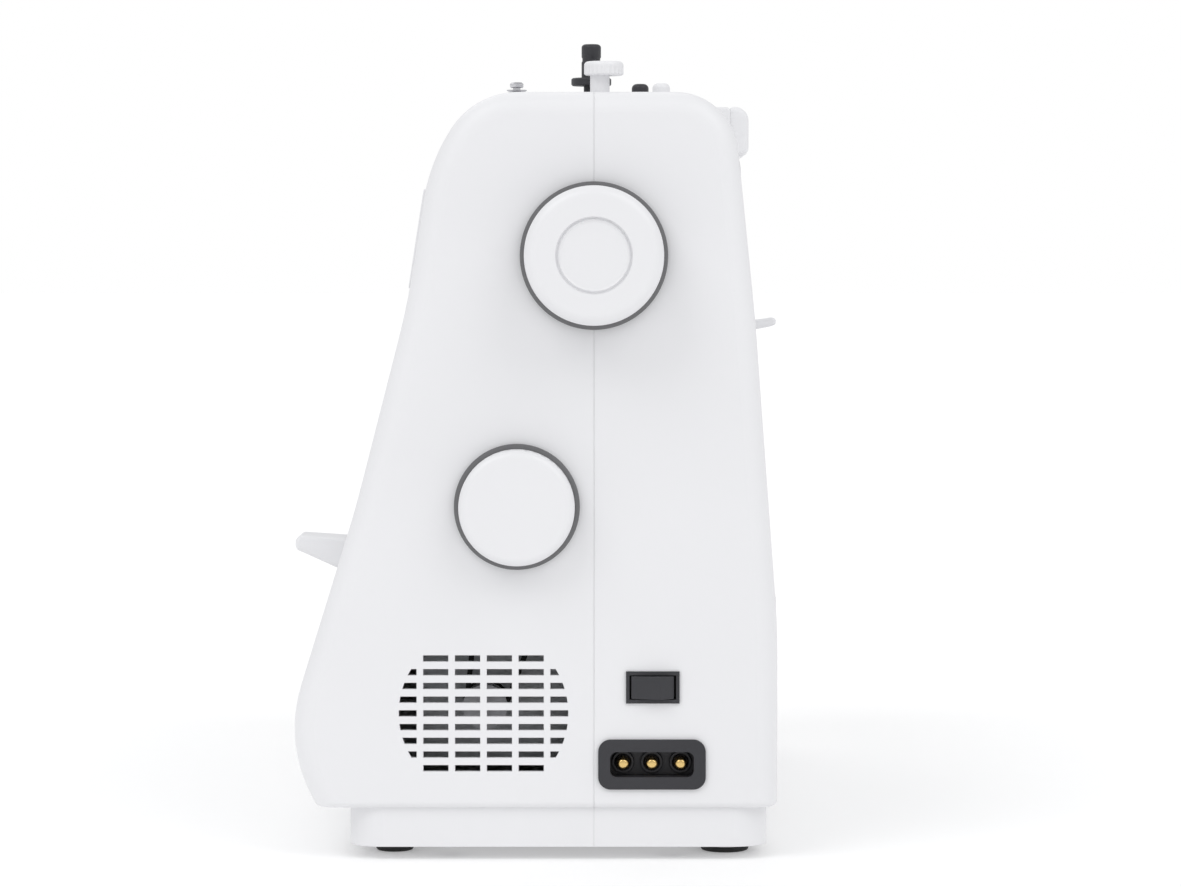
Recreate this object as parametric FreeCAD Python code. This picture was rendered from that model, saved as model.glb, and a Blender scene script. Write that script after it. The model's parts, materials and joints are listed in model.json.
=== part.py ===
import FreeCAD, Part
import math
import os

# A free-arm sewing machine, in millimetres. +Z is up, +X points from the needle to the handwheel,
# -Y faces the operator. The machine is laid out about its seam plane (Y = 0, the plane of the main
# shafts) and moved by SEAM_Y at export, so that the origin is the middle of its footprint.

V = FreeCAD.Vector

# overall envelope
SEAM_Y = 16.0            # from the middle of the footprint to the seam plane
LEFT_END = -205.0        # face cover
RIGHT_END = 180.0        # flat end that carries the handwheel, dial, switch and inlet
WHEEL_END = 205.0        # outer face of the handwheel
TOP = 290.3
SKIRT = 20.0             # lower edge of the covers, above the recessed base band
FEET_HEIGHT = 5.0
WALL = 3.0
SLIT = 0.1               # half the gap along the cover seam
GROOVE_HALF = 0.25       # the shadow groove that the slit lies in
GROOVE_DEPTH = 0.3
FAR = 400.0              # beyond the machine in every direction

# layout across X
COLUMN_LEFT = 62.0
HEAD_RIGHT = -138.0
FACE_SEAM = -176.0
NEEDLE_X = -160.0

# layout up Z
ARM_BOTTOM = 180.0
HEAD_BOTTOM = 152.0
BED_TOP = 70.0
ARM_SHAFT_Z = 228.6
LOWER_SHAFT_Z = 47.0

# cross-section of the casing: corner (y, z) and its rounding radius
CASING = [
    (-105.2, 20, 0), (-118.0, 43.7, 56), (-90.3, 133, 400), (-70.3, 211, 300), (-62.05, 263.7, 70),
    (-45.0, 290.3, 30), (52.2, 290.3, 24), (61.0, 204, 300), (69.6, 88, 300), (69.6, 20, 0)]
# front elevation below the arm: corner (x, z) and its rounding radius
THROAT = [
    (240, 20, 0), (COLUMN_LEFT, 20, 0), (COLUMN_LEFT, ARM_BOTTOM, 25), (HEAD_RIGHT, ARM_BOTTOM, 12),
    (HEAD_RIGHT, HEAD_BOTTOM, 0), (-240, HEAD_BOTTOM, 0), (-240, 400, 0), (240, 400, 0)]

# recessed band below the casing
BAND_FRONT = -92.9
BAND_REAR = 65.8
BAND_RIGHT = 177.5
BAND_CORNER = 13.0

# free arm and what surrounds it
ARM_FRONT = -42.0
ARM_REAR = 38.0
ARM_LEFT = -192.0
ARM_FLOOR = 33.0
ARM_WALL = 2.5
PLATE_LEFT = -186.0
PLATE_RIGHT = -130.0
PLATE_TOP = 70.4
HOOK_Y = -20.0
TABLE_RIGHT = 61.4
TABLE_BOTTOM = 21.0
TABLE_WALL = 2.5

# running clearance of shafts, and gap between casings that move past each other
RUN = 0.05
GAP = 0.3

# right end face: (y, z) centres
WHEEL_Z = ARM_SHAFT_Z
WHEEL_RADIUS = 26.0
WHEEL_RING_RADIUS = 27.8
SELECTOR = (-29.0, 134.2)
SELECTOR_RADIUS = 21.8
VENT = (-41.7, 56.0)
VENT_RADIUS = 32.0
SWITCH = (22.2, 65.9)
SWITCH_PIVOT_X = 178.0
SWITCH_PIN_R = 1.0
INLET = (21.9, 36.7)

# drive train
ARM_SHAFT_R = 6.0
LOWER_SHAFT_R = 4.0
SPROCKET_R = 15.8
SPROCKET_X = (100.0, 110.0)
PULLEY_X = (148.0, 158.0)
PULLEY_R = 29.0
MOTOR_PULLEY_R = 6.0
MOTOR_R = 22.0
CAM_X = -25.0
CAM_Z = 256.5
ARM_LUGS = ((-146, -138), (50, 58), (118, 126))
LOWER_LUGS = ((-146, -138), (40, 48), (112, 118))
BUSH_WALL = 2.0

# cast frame: an upright back plate with a column and a spine
FRAME_Y = (34.0, 40.0)
FRAME_X = (-176.0, 150.0)
FRAME_COLUMN_LEFT = 75.0
SPINE_Z = (205.0, 266.0)

# sewing head
PRESSER_Y = 13.0
NEEDLE_BAR_R = 3.5
PRESSER_BAR_R = 3.0
LIFTER = (30.0, 190.0)
LIFTER_X = (-165.5, -152.5)
FOOT_PIN = (9.0, 81.5)
FOOT_PIN_R = 1.0
SOLE_Z = (76.7, 78.4)
FOOT_TOE = -8.2
FOOT_HEEL = 10.5
TAKE_UP = (-18.0, 238.0)

# top of the machine
HANDLE_PIVOT = (8.0, 283.0)
HANDLE_MIDDLE = -30.0
HANDLE_ARM_X = (50.0, 62.0)
GRIP = (55.5, 64.0, 269.6, 290.4)    # front, rear, low and high sides of the grip when folded
SPOOL_PINS = {"left": (45.0, 19.0, 299.0), "right": (95.0, 26.7, 297.0)}
WINDER = (138.0, -1.0)
WINDER_PIVOT = (138.0, 27.0)
GUIDE = (-40.0, -33.0)
STOPPER_X = 158.0

# front of the machine
REVERSE_PIVOT = (-75.0, 112.0)
REVERSE_X = (105.0, 135.0)
DIAL_Z = 236.0
DIALS = {"stitch_length": 45.0, "stitch_width": -10.0, "tension": -110.0}
DIAL_R = 12.5
WINDOW_X = (84.0, 164.0)
LID_PIVOT = (-107.9, 28.4)


# ---------------------------------------------------------------- plain shapes

def box(x0, x1, y0, y1, z0, z1):
    return Part.makeBox(x1 - x0, y1 - y0, z1 - z0, V(x0, y0, z0))


def rod_x(x0, x1, y, z, r):
    return Part.makeCylinder(r, x1 - x0, V(x0, y, z), V(1, 0, 0))


def rod_y(y0, y1, x, z, r):
    return Part.makeCylinder(r, y1 - y0, V(x, y0, z), V(0, 1, 0))


def rod_z(z0, z1, x, y, r):
    return Part.makeCylinder(r, z1 - z0, V(x, y, z0), V(0, 0, 1))


def clean(shape):
    """Drop leftover splits, and unwrap a compound that holds one solid."""
    shape = shape.removeSplitter()
    return shape.Solids[0] if len(shape.Solids) == 1 else shape


def join(*shapes):
    return clean(shapes[0].multiFuse(list(shapes[1:])))


def cut(shape, *tools):
    for tool in tools:
        shape = shape.cut(tool)
    return shape


def round_edges(shape, radius, chosen):
    shape = clean(shape)
    return shape.makeFillet(radius, [edge for edge in shape.Edges if chosen(edge.BoundBox)])


def is_upright(bounds):
    return bounds.ZLength > 0.5 and bounds.XLength < 0.01 and bounds.YLength < 0.01


def block(x0, x1, y0, y1, z0, z1, corner):
    """A box with its four upright edges rounded."""
    return round_edges(box(x0, x1, y0, y1, z0, z1), corner, is_upright)


def plate_yz(x0, x1, corners):
    """A rounded outline of (y, z, radius) corners, extruded along X."""
    outline = rounded_wire(corners, lambda u, w: V(x0, u, w))
    return Part.Face(outline).extrude(V(x1 - x0, 0, 0))


def disc_edges(shape, radius, axis_x):
    """Round the circular edges of a part turned about X that lie in the plane X = axis_x."""
    return round_edges(shape, radius, lambda b: abs(b.XMin - axis_x) < 0.01 and b.XLength < 0.02)


# ---------------------------------------------------------------- rounded outlines

def inset_corners(corners, inset):
    """Move every side of a closed polygon inwards and keep its roundings concentric."""
    count = len(corners)
    turn = sum(corners[k][0] * corners[(k + 1) % count][1] - corners[(k + 1) % count][0] * corners[k][1]
               for k in range(count))
    inward = 1 if turn > 0 else -1
    sides = []
    for k in range(count):
        start, end = V(*corners[k][:2], 0), V(*corners[(k + 1) % count][:2], 0)
        along = (end - start).normalize()
        sides.append((start + V(-along.y, along.x, 0) * inset * inward, along))
    moved = []
    for k in range(count):
        (point_a, along_a), (point_b, along_b) = sides[k - 1], sides[k]
        cross = along_a.x * along_b.y - along_a.y * along_b.x
        gap = point_b - point_a
        meet = point_a + along_a * ((gap.x * along_b.y - gap.y * along_b.x) / cross)
        radius = corners[k][2]
        if radius:
            radius += -inset if cross * inward > 0 else inset
        moved.append((meet.x, meet.y, max(radius, 0)))
    return moved


def rounded_wire(corners, place):
    """A closed wire through the corners, each rounded by an arc; place(u, w) gives a point."""
    count = len(corners)
    bends = []
    for k in range(count):
        corner = V(*corners[k][:2], 0)
        back = (V(*corners[k - 1][:2], 0) - corner).normalize()
        ahead = (V(*corners[(k + 1) % count][:2], 0) - corner).normalize()
        radius = corners[k][2]
        if not radius:
            bends.append((corner, None, corner))
            continue
        half = back.getAngle(ahead) / 2
        trim = radius / math.tan(half)
        middle = corner + (back + ahead).normalize() * (radius / math.sin(half) - radius)
        bends.append((corner + back * trim, middle, corner + ahead * trim))
    edges = []
    for k in range(count):
        start, middle, end = [point and place(point.x, point.y) for point in bends[k]]
        if middle:
            edges.append(Part.Arc(start, middle, end).toShape())
        following = bends[(k + 1) % count][0]
        following = place(following.x, following.y)
        if following.distanceToPoint(end) > 1e-6:
            edges.append(Part.LineSegment(end, following).toShape())
    return Part.Wire(edges)


def belt_loop(x0, x1, centre_a, radius_a, centre_b, radius_b):
    """The filled outline of a belt round two circles (y, z), extruded along X."""
    a, b = V(0, *centre_a), V(0, *centre_b)
    along = (b - a).normalize()
    across = V(0, -along.z, along.y)
    lean = (radius_a - radius_b) / (b - a).Length
    side = math.sqrt(1 - lean * lean)
    touch = [along * lean + across * side * sign for sign in (1, -1)]
    start = [a + touch[0] * radius_a, b + touch[0] * radius_b]
    finish = [b + touch[1] * radius_b, a + touch[1] * radius_a]
    edges = [
        Part.LineSegment(start[0], start[1]).toShape(),
        Part.Arc(start[1], b + along * radius_b, finish[0]).toShape(),
        Part.LineSegment(finish[0], finish[1]).toShape(),
        Part.Arc(finish[1], a - along * radius_a, start[0]).toShape()]
    loop = Part.Face(Part.Wire(edges))
    loop.translate(V(x0, 0, 0))
    return loop.extrude(V(x1 - x0, 0, 0))


# ---------------------------------------------------------------- casing

def casing_prism(x0, x1, inset=0.0):
    return plate_yz(x0, x1, inset_corners(CASING, inset))


def casing(inset):
    """The whole casing as one solid, shrunk by inset on every side."""
    solid = casing_prism(LEFT_END + inset, RIGHT_END - inset, inset)
    front_view = rounded_wire(inset_corners(THROAT, inset), lambda u, w: V(u, -300, w))
    solid = solid.common(Part.Face(front_view).extrude(V(0, 600, 0)))
    solid = round_edges(solid, 8 - inset, lambda b: b.XLength < 0.01 and b.XMin > RIGHT_END - inset - 1
                        and b.ZMax > SKIRT + inset + 0.5)
    return round_edges(solid, 10 - inset, lambda b: b.XLength < 0.01 and b.XMax < LEFT_END + inset + 1
                       and b.ZMax > HEAD_BOTTOM + inset + 0.5)


def underside_edge(b):
    """Edges where the arm, the head and the inner side of the column meet the front and rear skins."""
    skin = b.YMin > 55 or b.YMax < -70
    below = b.XMax < COLUMN_LEFT + 0.1 and b.ZMax < ARM_BOTTOM + 0.1 and b.XMin > -200
    return skin and below and b.YLength < 45 and b.XLength + b.ZLength > 3


def band(inset, z0, z1):
    """The recessed band round the foot of the column."""
    corner = BAND_CORNER - inset
    solid = box(COLUMN_LEFT + inset, BAND_RIGHT - inset, BAND_FRONT + inset, BAND_REAR - inset, z0, z1)
    return round_edges(solid, corner, lambda b: is_upright(b) and b.XMin > 100)


def casing_shell():
    """The moulded casing before it is split: open below the column, open towards the free arm."""
    outside = round_edges(casing(0), 4, underside_edge)
    outside = round_edges(outside, 2.5, lambda b: b.ZMax < SKIRT + 0.01 and b.XMax > COLUMN_LEFT + 1)
    outside = outside.fuse(band(0, FEET_HEIGHT, SKIRT + 1))
    inside = casing(WALL).fuse(band(WALL, 0, SKIRT + WALL + 1))
    shell = outside.cut(inside)
    arm_doorway = box(COLUMN_LEFT - 1, COLUMN_LEFT + WALL + 1, -38, 35, 36, 67)
    base_doorway = box(COLUMN_LEFT - 1, COLUMN_LEFT + WALL + 1, BAND_FRONT, BAND_REAR, 0, 8.3)
    seam_groove = box(FACE_SEAM, FAR, -GROOVE_HALF, GROOVE_HALF, SKIRT, FAR).cut(casing(GROOVE_DEPTH))
    wheel_hole = rod_x(RIGHT_END - 5, RIGHT_END + 5, 0, WHEEL_Z, 9)
    winder_slot = join(rod_z(TOP - 6, TOP + 1, WINDER[0], WINDER[1], 4.2),
                       rod_z(TOP - 6, TOP + 1, WINDER[0] + 3, WINDER[1], 4.2),
                       box(WINDER[0], WINDER[0] + 3, WINDER[1] - 4.2, WINDER[1] + 4.2, TOP - 6, TOP + 1))
    needle_opening = box(-168, -152, -8, 20, HEAD_BOTTOM - 1, HEAD_BOTTOM + WALL + 1)
    return cut(shell, arm_doorway, base_doorway, seam_groove, wheel_hole, winder_slot, needle_opening)


# ---------------------------------------------------------------- places on the slanted front

def front_skin_y(z):
    """Y of the flat, slanted front skin of the arm at height z."""
    (y0, z0, _), (y1, z1, _) = CASING[3], CASING[4]
    return y0 + (y1 - y0) * (z - z0) / (z1 - z0)


FRONT_TILT = math.degrees(math.atan2(CASING[4][0] - CASING[3][0], CASING[4][1] - CASING[3][1]))


def on_front(shape, x, z):
    """Carry a shape from the XY plane, with Z as its outward axis and Y up, to the slanted front."""
    shape.rotate(V(0, 0, 0), V(1, 0, 0), 90 - FRONT_TILT)
    shape.translate(V(x, front_skin_y(z), z))
    return shape


# ---------------------------------------------------------------- covers

def vent_slots():
    """Rows of slots for the motor's cooling air, trimmed to a circle."""
    pitch_y, pitch_z = 12.0, 5.2
    length, height = 9.5, 2.4
    slots = []
    for column in (-2.5, -1.5, -0.5, 0.5, 1.5, 2.5):
        for row in range(-4, 5):
            y = VENT[0] + column * pitch_y
            z = VENT[1] + row * pitch_z
            slots.append(box(RIGHT_END - 6, RIGHT_END + 1, y - length / 2, y + length / 2,
                             z - height / 2, z + height / 2))
    disc = rod_x(RIGHT_END - 6, RIGHT_END + 1, VENT[0], VENT[1], VENT_RADIUS)
    return Part.makeCompound(slots).common(disc)


def reverse_brackets():
    """Two cheeks behind the front skin that carry the reverse lever."""
    y, z = REVERSE_PIVOT
    cheeks = []
    for x in (REVERSE_X[0] - 4.4, REVERSE_X[1] + 0.4):
        cheek = box(x, x + 4, -100, y + 6, z - 7, z + 7)
        cheeks.append(cheek.cut(rod_x(x - 1, x + 5, y, z, 2.5 + RUN)))
    return join(*cheeks).common(casing(1))


def front_openings():
    tools = [box(REVERSE_X[0] - 0.4, REVERSE_X[1] + 0.4, -120, -85, 99, 120.5)]
    tools.append(box(-171.5, -165.5, -80, -52, 214, 272))
    tools.append(box(-148, -144, -80, -50, 200, 272))
    tools.append(box(-165.2, -146.8, -52.2, -33.8, HEAD_BOTTOM - 1, HEAD_BOTTOM + WALL + 1))
    tools.append(rod_x(RIGHT_END - 5, RIGHT_END + 5, SELECTOR[0], SELECTOR[1], 8))
    tools.append(vent_slots())
    for x in DIALS.values():
        tools.append(on_front(rod_z(-8, 3, 0, 0, 3.4), x, DIAL_Z))
    pocket = block(WINDOW_X[0] - 0.2, WINDOW_X[1] + 0.2, -12.7, 12.7, -0.9, 5, 3)
    tools.append(on_front(pocket, 0, DIAL_Z))
    return tools


def front_cover(shell):
    cover = shell.common(box(FACE_SEAM + SLIT, FAR, -FAR, -SLIT, 0, FAR))
    return join(cut(cover, *front_openings()), reverse_brackets())


def handle_trough(side):
    """A pocket in the top of the rear cover that takes one arm of the folded handle."""
    inner, outer = (HANDLE_MIDDLE + reach for reach in (HANDLE_ARM_X[0] - GAP, HANDLE_ARM_X[1] + GAP))
    y, z = HANDLE_PIVOT
    wall = 3.0
    trough = box(inner - wall, outer + wall, SLIT, 60, 274.4, TOP + 1)
    void = box(inner, outer, 1.9, 90, 277, TOP + 5)
    pin = rod_x(outer - 1, outer + wall + 0.5, y, z, 3 + RUN)
    shapes = [trough, void, pin]
    if side < 0:
        shapes = [shape.mirror(V(HANDLE_MIDDLE, 0, 0), V(1, 0, 0)) for shape in shapes]
    return shapes


def rear_openings():
    tools = [box(-167, -151, 40, 90, 172, 201)]
    tools.append(inlet_outline(RIGHT_END - 6, RIGHT_END + 1, 36.4, 15.4, 3))
    tools.append(box(RIGHT_END - 6, RIGHT_END + 1, SWITCH[0] - 9.1, SWITCH[0] + 9.1,
                     SWITCH[1] - 5.1, SWITCH[1] + 5.1))
    for x, y, _ in SPOOL_PINS.values():
        tools.append(rod_z(250, TOP + 1, x, y, 3.5 + RUN))
    return tools


def face_hinge_line(z):
    """Y of the slightly leaning hinge line of the face cover, just outside the rear skin."""
    return 61.4 - 0.09 * (z - 204)


HINGE_Z = ((172, 184), (250, 262))


def hinge_barrel(z0, z1, radius):
    """A piece of a cylinder along the face cover's hinge line."""
    start = V(FACE_SEAM, face_hinge_line(z0), z0)
    along = V(FACE_SEAM, face_hinge_line(z1), z1) - start
    return Part.makeCylinder(radius, along.Length, start, along)


def rear_cover(shell):
    cover = shell.common(box(FACE_SEAM + SLIT, FAR, SLIT, FAR, 0, FAR))
    tubes = [rod_z(255, TOP - 1, x, y, 6) for x, y, _ in SPOOL_PINS.values()]
    troughs = [handle_trough(side) for side in (1, -1)]
    added = [trough.common(casing(0)) for trough, _, _ in troughs]
    cover = join(cover, *tubes, *added)
    cover = cut(cover, *rear_openings())
    for _, void, pin in troughs:
        cover = cut(cover, void, pin)
    for z0, z1 in HINGE_Z:
        cover = cover.cut(hinge_barrel(z0 - 0.2, z1 + 0.2, 2.6))
        cover = join(cover, hinge_barrel(z1 + 0.3, z1 + 6, 2.2), hinge_barrel(z0 + 2, z1 + 1, 1.0))
    return cover


def face_cover(shell):
    cover = shell.common(box(-FAR, FACE_SEAM - 2 * SLIT, -FAR, FAR, 0, FAR))
    for z0, z1 in HINGE_Z:
        cover = cover.cut(hinge_barrel(z1 + 0.1, z1 + 6.2, 2.6))
        cover = join(cover, hinge_barrel(z0, z1, 2.2))
        cover = cover.cut(hinge_barrel(z0 + 1, z1 + 1, 1.0 + RUN))
    return cover


# ---------------------------------------------------------------- base and feet

FOOT_X = (-175.0, 150.0)
FOOT_Y = {"front": (-76.7, 7.5), "rear": (50.4, 9.5)}
SCREW_X = (84.0, 164.0)
SCREW_Y = (-55.0, 30.0)
SCREW_R = 1.8


def base():
    right = COLUMN_LEFT - GAP
    outside = box(-196, right, BAND_FRONT, BAND_REAR, FEET_HEIGHT, SKIRT)
    outside = round_edges(outside, BAND_CORNER, lambda b: is_upright(b) and b.XMax < -190)
    inside = box(-193.5, right - 2.5, BAND_FRONT + 2.5, BAND_REAR - 2.5, 0, SKIRT - 2.5)
    inside = round_edges(inside, BAND_CORNER - 2.5, lambda b: is_upright(b) and b.XMax < -190)
    bosses = [rod_z(FEET_HEIGHT, SKIRT - 1, FOOT_X[0], y, 10.5) for y, _ in FOOT_Y.values()]
    plate = box(right - 3, BAND_RIGHT - WALL - GAP, BAND_FRONT + WALL + GAP, BAND_REAR - WALL - GAP,
                FEET_HEIGHT, FEET_HEIGHT + 3)
    plate = round_edges(plate, BAND_CORNER - WALL, lambda b: is_upright(b) and b.XMin > 100)
    screw_holes = [rod_z(0, FEET_HEIGHT + 4, x, y, SCREW_R) for x in SCREW_X for y in SCREW_Y]
    return cut(join(outside.cut(inside), plate, *bosses), *screw_holes)


def feet():
    pads = []
    for x in FOOT_X:
        for y, radius in FOOT_Y.values():
            pad = Part.makeCone(radius - 1.2, radius, FEET_HEIGHT, V(x, y, 0))
            pads.append(pad)
    return Part.makeCompound(pads)


def cover_screws():
    """Pan-head screws under the base plate."""
    screws = []
    for x in SCREW_X:
        for y in SCREW_Y:
            screws.append(join(rod_z(FEET_HEIGHT - 1.6, FEET_HEIGHT, x, y, 4),
                               rod_z(FEET_HEIGHT - 0.5, FEET_HEIGHT + 3, x, y, SCREW_R)))
    return Part.makeCompound(screws)


# ---------------------------------------------------------------- right end face

def turned(profile):
    """Revolve (x, radius) points about the X axis; the profile closes along the axis."""
    points = [V(x, 0, radius) for x, radius in profile]
    points.append(points[0])
    return Part.Face(Part.makePolygon(points)).revolve(V(0, 0, 0), V(1, 0, 0), 360)


def handwheel_cap():
    back = 184.0
    cap = turned([(back, ARM_SHAFT_R), (back, 9), (198, 9), (198, 22.5), (back, 22.5),
                  (back, WHEEL_RADIUS), (WHEEL_END, WHEEL_RADIUS), (WHEEL_END, 13.2),
                  (WHEEL_END - 1.5, 12.4), (WHEEL_END - 1.5, 0), (200, 0), (200, ARM_SHAFT_R)])
    cap = round_edges(cap, 4, lambda b: b.XLength < 0.02 and abs(b.XMin - WHEEL_END) < 0.01
                      and b.YLength > 2 * WHEEL_RADIUS - 1)
    cap.translate(V(0, 0, WHEEL_Z))
    return cap


def handwheel_ring():
    ring = rod_x(RIGHT_END + 1, 184, 0, WHEEL_Z, WHEEL_RING_RADIUS)
    return ring.cut(rod_x(RIGHT_END, 190, 0, WHEEL_Z, ARM_SHAFT_R))


def selector_bezel():
    y, z = SELECTOR
    ring = rod_x(RIGHT_END, RIGHT_END + 2.5, y, z, 23.7)
    return ring.cut(rod_x(RIGHT_END - 1, RIGHT_END + 3, y, z, 8))


def selector_dial():
    y, z = SELECTOR
    cap = rod_x(RIGHT_END + 2.8, RIGHT_END + 13, y, z, SELECTOR_RADIUS)
    cap = disc_edges(cap, 3, RIGHT_END + 13)
    shaft = rod_x(112, RIGHT_END + 5, y, z, 4)
    gear = rod_x(118, 124, y, z, 9)
    return join(cap, shaft, gear)


def inlet_outline(x0, x1, width, height, corner):
    y, z = INLET
    outline = box(x0, x1, y - width / 2, y + width / 2, z - height / 2, z + height / 2)
    return round_edges(outline, corner, lambda b: b.XLength > 0.5)


def inlet_socket():
    rim = inlet_outline(RIGHT_END, RIGHT_END + 1.2, 40.6, 18.9, 4.7)
    body = inlet_outline(RIGHT_END - 12, RIGHT_END + 1, 36, 15, 3)
    recess = inlet_outline(RIGHT_END - 9, RIGHT_END + 2, 31.6, 9.5, 2.5)
    return join(rim, body).cut(recess)


def inlet_pins():
    y, z = INLET
    pins = []
    for offset in (-10.9, 0, 10.9):
        pins.append(rod_x(RIGHT_END - 9, RIGHT_END - 1, y + offset, z, 2.3))
    return Part.makeCompound([disc_edges(pin, 1, RIGHT_END - 1) for pin in pins])


def switch_housing():
    y, z = SWITCH
    rim = box(RIGHT_END, RIGHT_END + 0.9, y - 10.1, y + 10.1, z - 6.05, z + 6.05)
    body = box(RIGHT_END - 14, RIGHT_END + 0.5, y - 9, y + 9, z - 5, z + 5)
    well = box(RIGHT_END - 9, RIGHT_END + 2, y - 8.8, y + 8.8, z - 4.6, z + 4.6)
    pivot = rod_z(z - 6, z + 6, SWITCH_PIVOT_X, y, SWITCH_PIN_R + RUN)
    return cut(join(rim, body), well, pivot)


def switch_rocker():
    y, z = SWITCH
    outline = [(176, -7.6), (181.2, -8.2), (184.4, 3), (181, 8), (176, 7.6)]
    points = [V(x, y + offset, z - 4.3) for x, offset in outline]
    rocker = Part.Face(Part.makePolygon(points + points[:1])).extrude(V(0, 0, 8.6))
    return join(rocker, rod_z(z - 4.95, z + 4.95, SWITCH_PIVOT_X, y, SWITCH_PIN_R))


# ---------------------------------------------------------------- frame and drive train

def lug(x0, x1, z, half):
    """An upright bearing lug from the spine to the shaft line Y = 0."""
    return box(x0, x1, -9, 35, z - half, z + half)


def machine_frame():
    left, right = FRAME_X
    spine = box(left, right, *FRAME_Y, *SPINE_Z)
    column = box(FRAME_COLUMN_LEFT, right, *FRAME_Y, 8, SPINE_Z[1])
    column = column.cut(box(85, 140, 30, 45, 70, 190))
    bed = join(box(PLATE_LEFT, right, 24, FRAME_Y[0], 36, 56),
               box(FRAME_COLUMN_LEFT, right, 30, FRAME_Y[1], 36, 56))
    posts = [box(x, x + 8, 26, 34, 50, PLATE_TOP - 2) for x in (PLATE_LEFT + 2, PLATE_RIGHT - 10)]
    head_plate = box(left, left + 4, -26, FRAME_Y[1], 165, SPINE_Z[1])
    guides = [box(left + 3, -155.5, -8, FRAME_Y[1], z0, z1) for z0, z1 in ((165, 172), (244, 250))]
    hook_lug = box(-172, -148, -30, 26, 36, 38.4)
    motor_bracket = box(138, 141, -66, 34, 34, 82)
    winder_lug = box(128, 146, 18, 40, 258, 266)
    arm_lugs = [lug(x0, x1, ARM_SHAFT_Z, 10) for x0, x1 in ARM_LUGS]
    lower_lugs = [box(x0, x1, -9, 26, 39, 55) for x0, x1 in LOWER_LUGS]
    pins = [rod_x(-173, -167.2, TAKE_UP[0], TAKE_UP[1], 2.5),
            rod_x(-173, -150, LIFTER[0], LIFTER[1], 2),
            rod_z(265, 274, WINDER_PIVOT[0], WINDER_PIVOT[1], 3)]
    frame = join(spine, column, bed, *posts, head_plate, *guides, hook_lug, motor_bracket, winder_lug,
                 *arm_lugs, *lower_lugs)
    holes = [box(-171, -146, 30, 45, 150, 215)]
    holes += [rod_x(x0 - 1, x1 + 1, 0, ARM_SHAFT_Z, ARM_SHAFT_R + BUSH_WALL) for x0, x1 in ARM_LUGS]
    holes += [rod_x(x0 - 1, x1 + 1, 0, LOWER_SHAFT_Z, LOWER_SHAFT_R + BUSH_WALL) for x0, x1 in LOWER_LUGS]
    holes.append(rod_z(160, 255, NEEDLE_X, 0, NEEDLE_BAR_R + RUN))
    holes.append(rod_z(160, 255, NEEDLE_X, PRESSER_Y, PRESSER_BAR_R + RUN))
    holes.append(rod_z(35, 40, NEEDLE_X, HOOK_Y, 3 + RUN))
    holes.append(rod_x(137, 142, VENT[0], VENT[1], 9))
    holes.append(rod_y(33, 41, CAM_X, CAM_Z, 3 + RUN))
    return join(cut(frame, *holes), *pins)


def bearing_bushes():
    bushes = []
    for lugs, z, radius in ((ARM_LUGS, ARM_SHAFT_Z, ARM_SHAFT_R), (LOWER_LUGS, LOWER_SHAFT_Z, LOWER_SHAFT_R)):
        for x0, x1 in lugs:
            bush = rod_x(x0, x1, 0, z, radius + BUSH_WALL)
            bushes.append(bush.cut(rod_x(x0 - 1, x1 + 1, 0, z, radius + RUN)))
    return Part.makeCompound(bushes)


def flanged_wheel(x0, x1, y, z, radius, flange):
    """A belt wheel with a thin flange at each side."""
    return join(rod_x(x0, x1, y, z, radius), rod_x(x0 - 1.5, x0, y, z, flange),
                rod_x(x1, x1 + 1.5, y, z, flange))


def arm_shaft():
    shaft = rod_x(-151.5, 200, 0, ARM_SHAFT_Z, ARM_SHAFT_R)
    worm = rod_x(CAM_X - 9, CAM_X + 9, 0, ARM_SHAFT_Z, 8)
    sprocket = flanged_wheel(*SPROCKET_X, 0, ARM_SHAFT_Z, SPROCKET_R, 18.6)
    return join(shaft, worm, sprocket)


def needle_crank():
    disc = rod_x(-151.5, -146.5, 0, ARM_SHAFT_Z, 18)
    flat = box(-152, -146, 8, 30, ARM_SHAFT_Z - 30, ARM_SHAFT_Z + 30)
    pin = rod_x(-153.5, -150, -15, ARM_SHAFT_Z, 2)
    return join(disc.cut(flat), pin).cut(rod_x(-151.5, -146, 0, ARM_SHAFT_Z, ARM_SHAFT_R))


def drive_pulley():
    wheel = flanged_wheel(PULLEY_X[0] + 1.5, PULLEY_X[1] - 1.5, 0, ARM_SHAFT_Z, PULLEY_R, PULLEY_R + 2.6)
    return wheel.cut(rod_x(140, 170, 0, ARM_SHAFT_Z, ARM_SHAFT_R))


def motor_body():
    can = rod_x(72, 138, VENT[0], VENT[1], MOTOR_R)
    can = round_edges(can, 3, lambda b: b.XLength < 0.02)
    return can.cut(rod_x(125, 140, VENT[0], VENT[1], 3 + RUN))


def motor_pulley():
    wheel = flanged_wheel(149.5, 156.5, VENT[0], VENT[1], MOTOR_PULLEY_R, 8.6)
    return join(wheel, rod_x(125.2, 158, VENT[0], VENT[1], 3))


def motor_belt():
    a, b = (0, ARM_SHAFT_Z), VENT
    outer = belt_loop(150, 156, a, PULLEY_R + 2.2, b, MOTOR_PULLEY_R + 2.2)
    return outer.cut(belt_loop(149, 157, a, PULLEY_R + 0.3, b, MOTOR_PULLEY_R + 0.3))


def timing_belt():
    a, b = (0, ARM_SHAFT_Z), (0, LOWER_SHAFT_Z)
    outer = belt_loop(100.4, 109.6, a, SPROCKET_R + 2.2, b, SPROCKET_R + 2.2)
    return outer.cut(belt_loop(99, 111, a, SPROCKET_R + 0.3, b, SPROCKET_R + 0.3))


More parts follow.
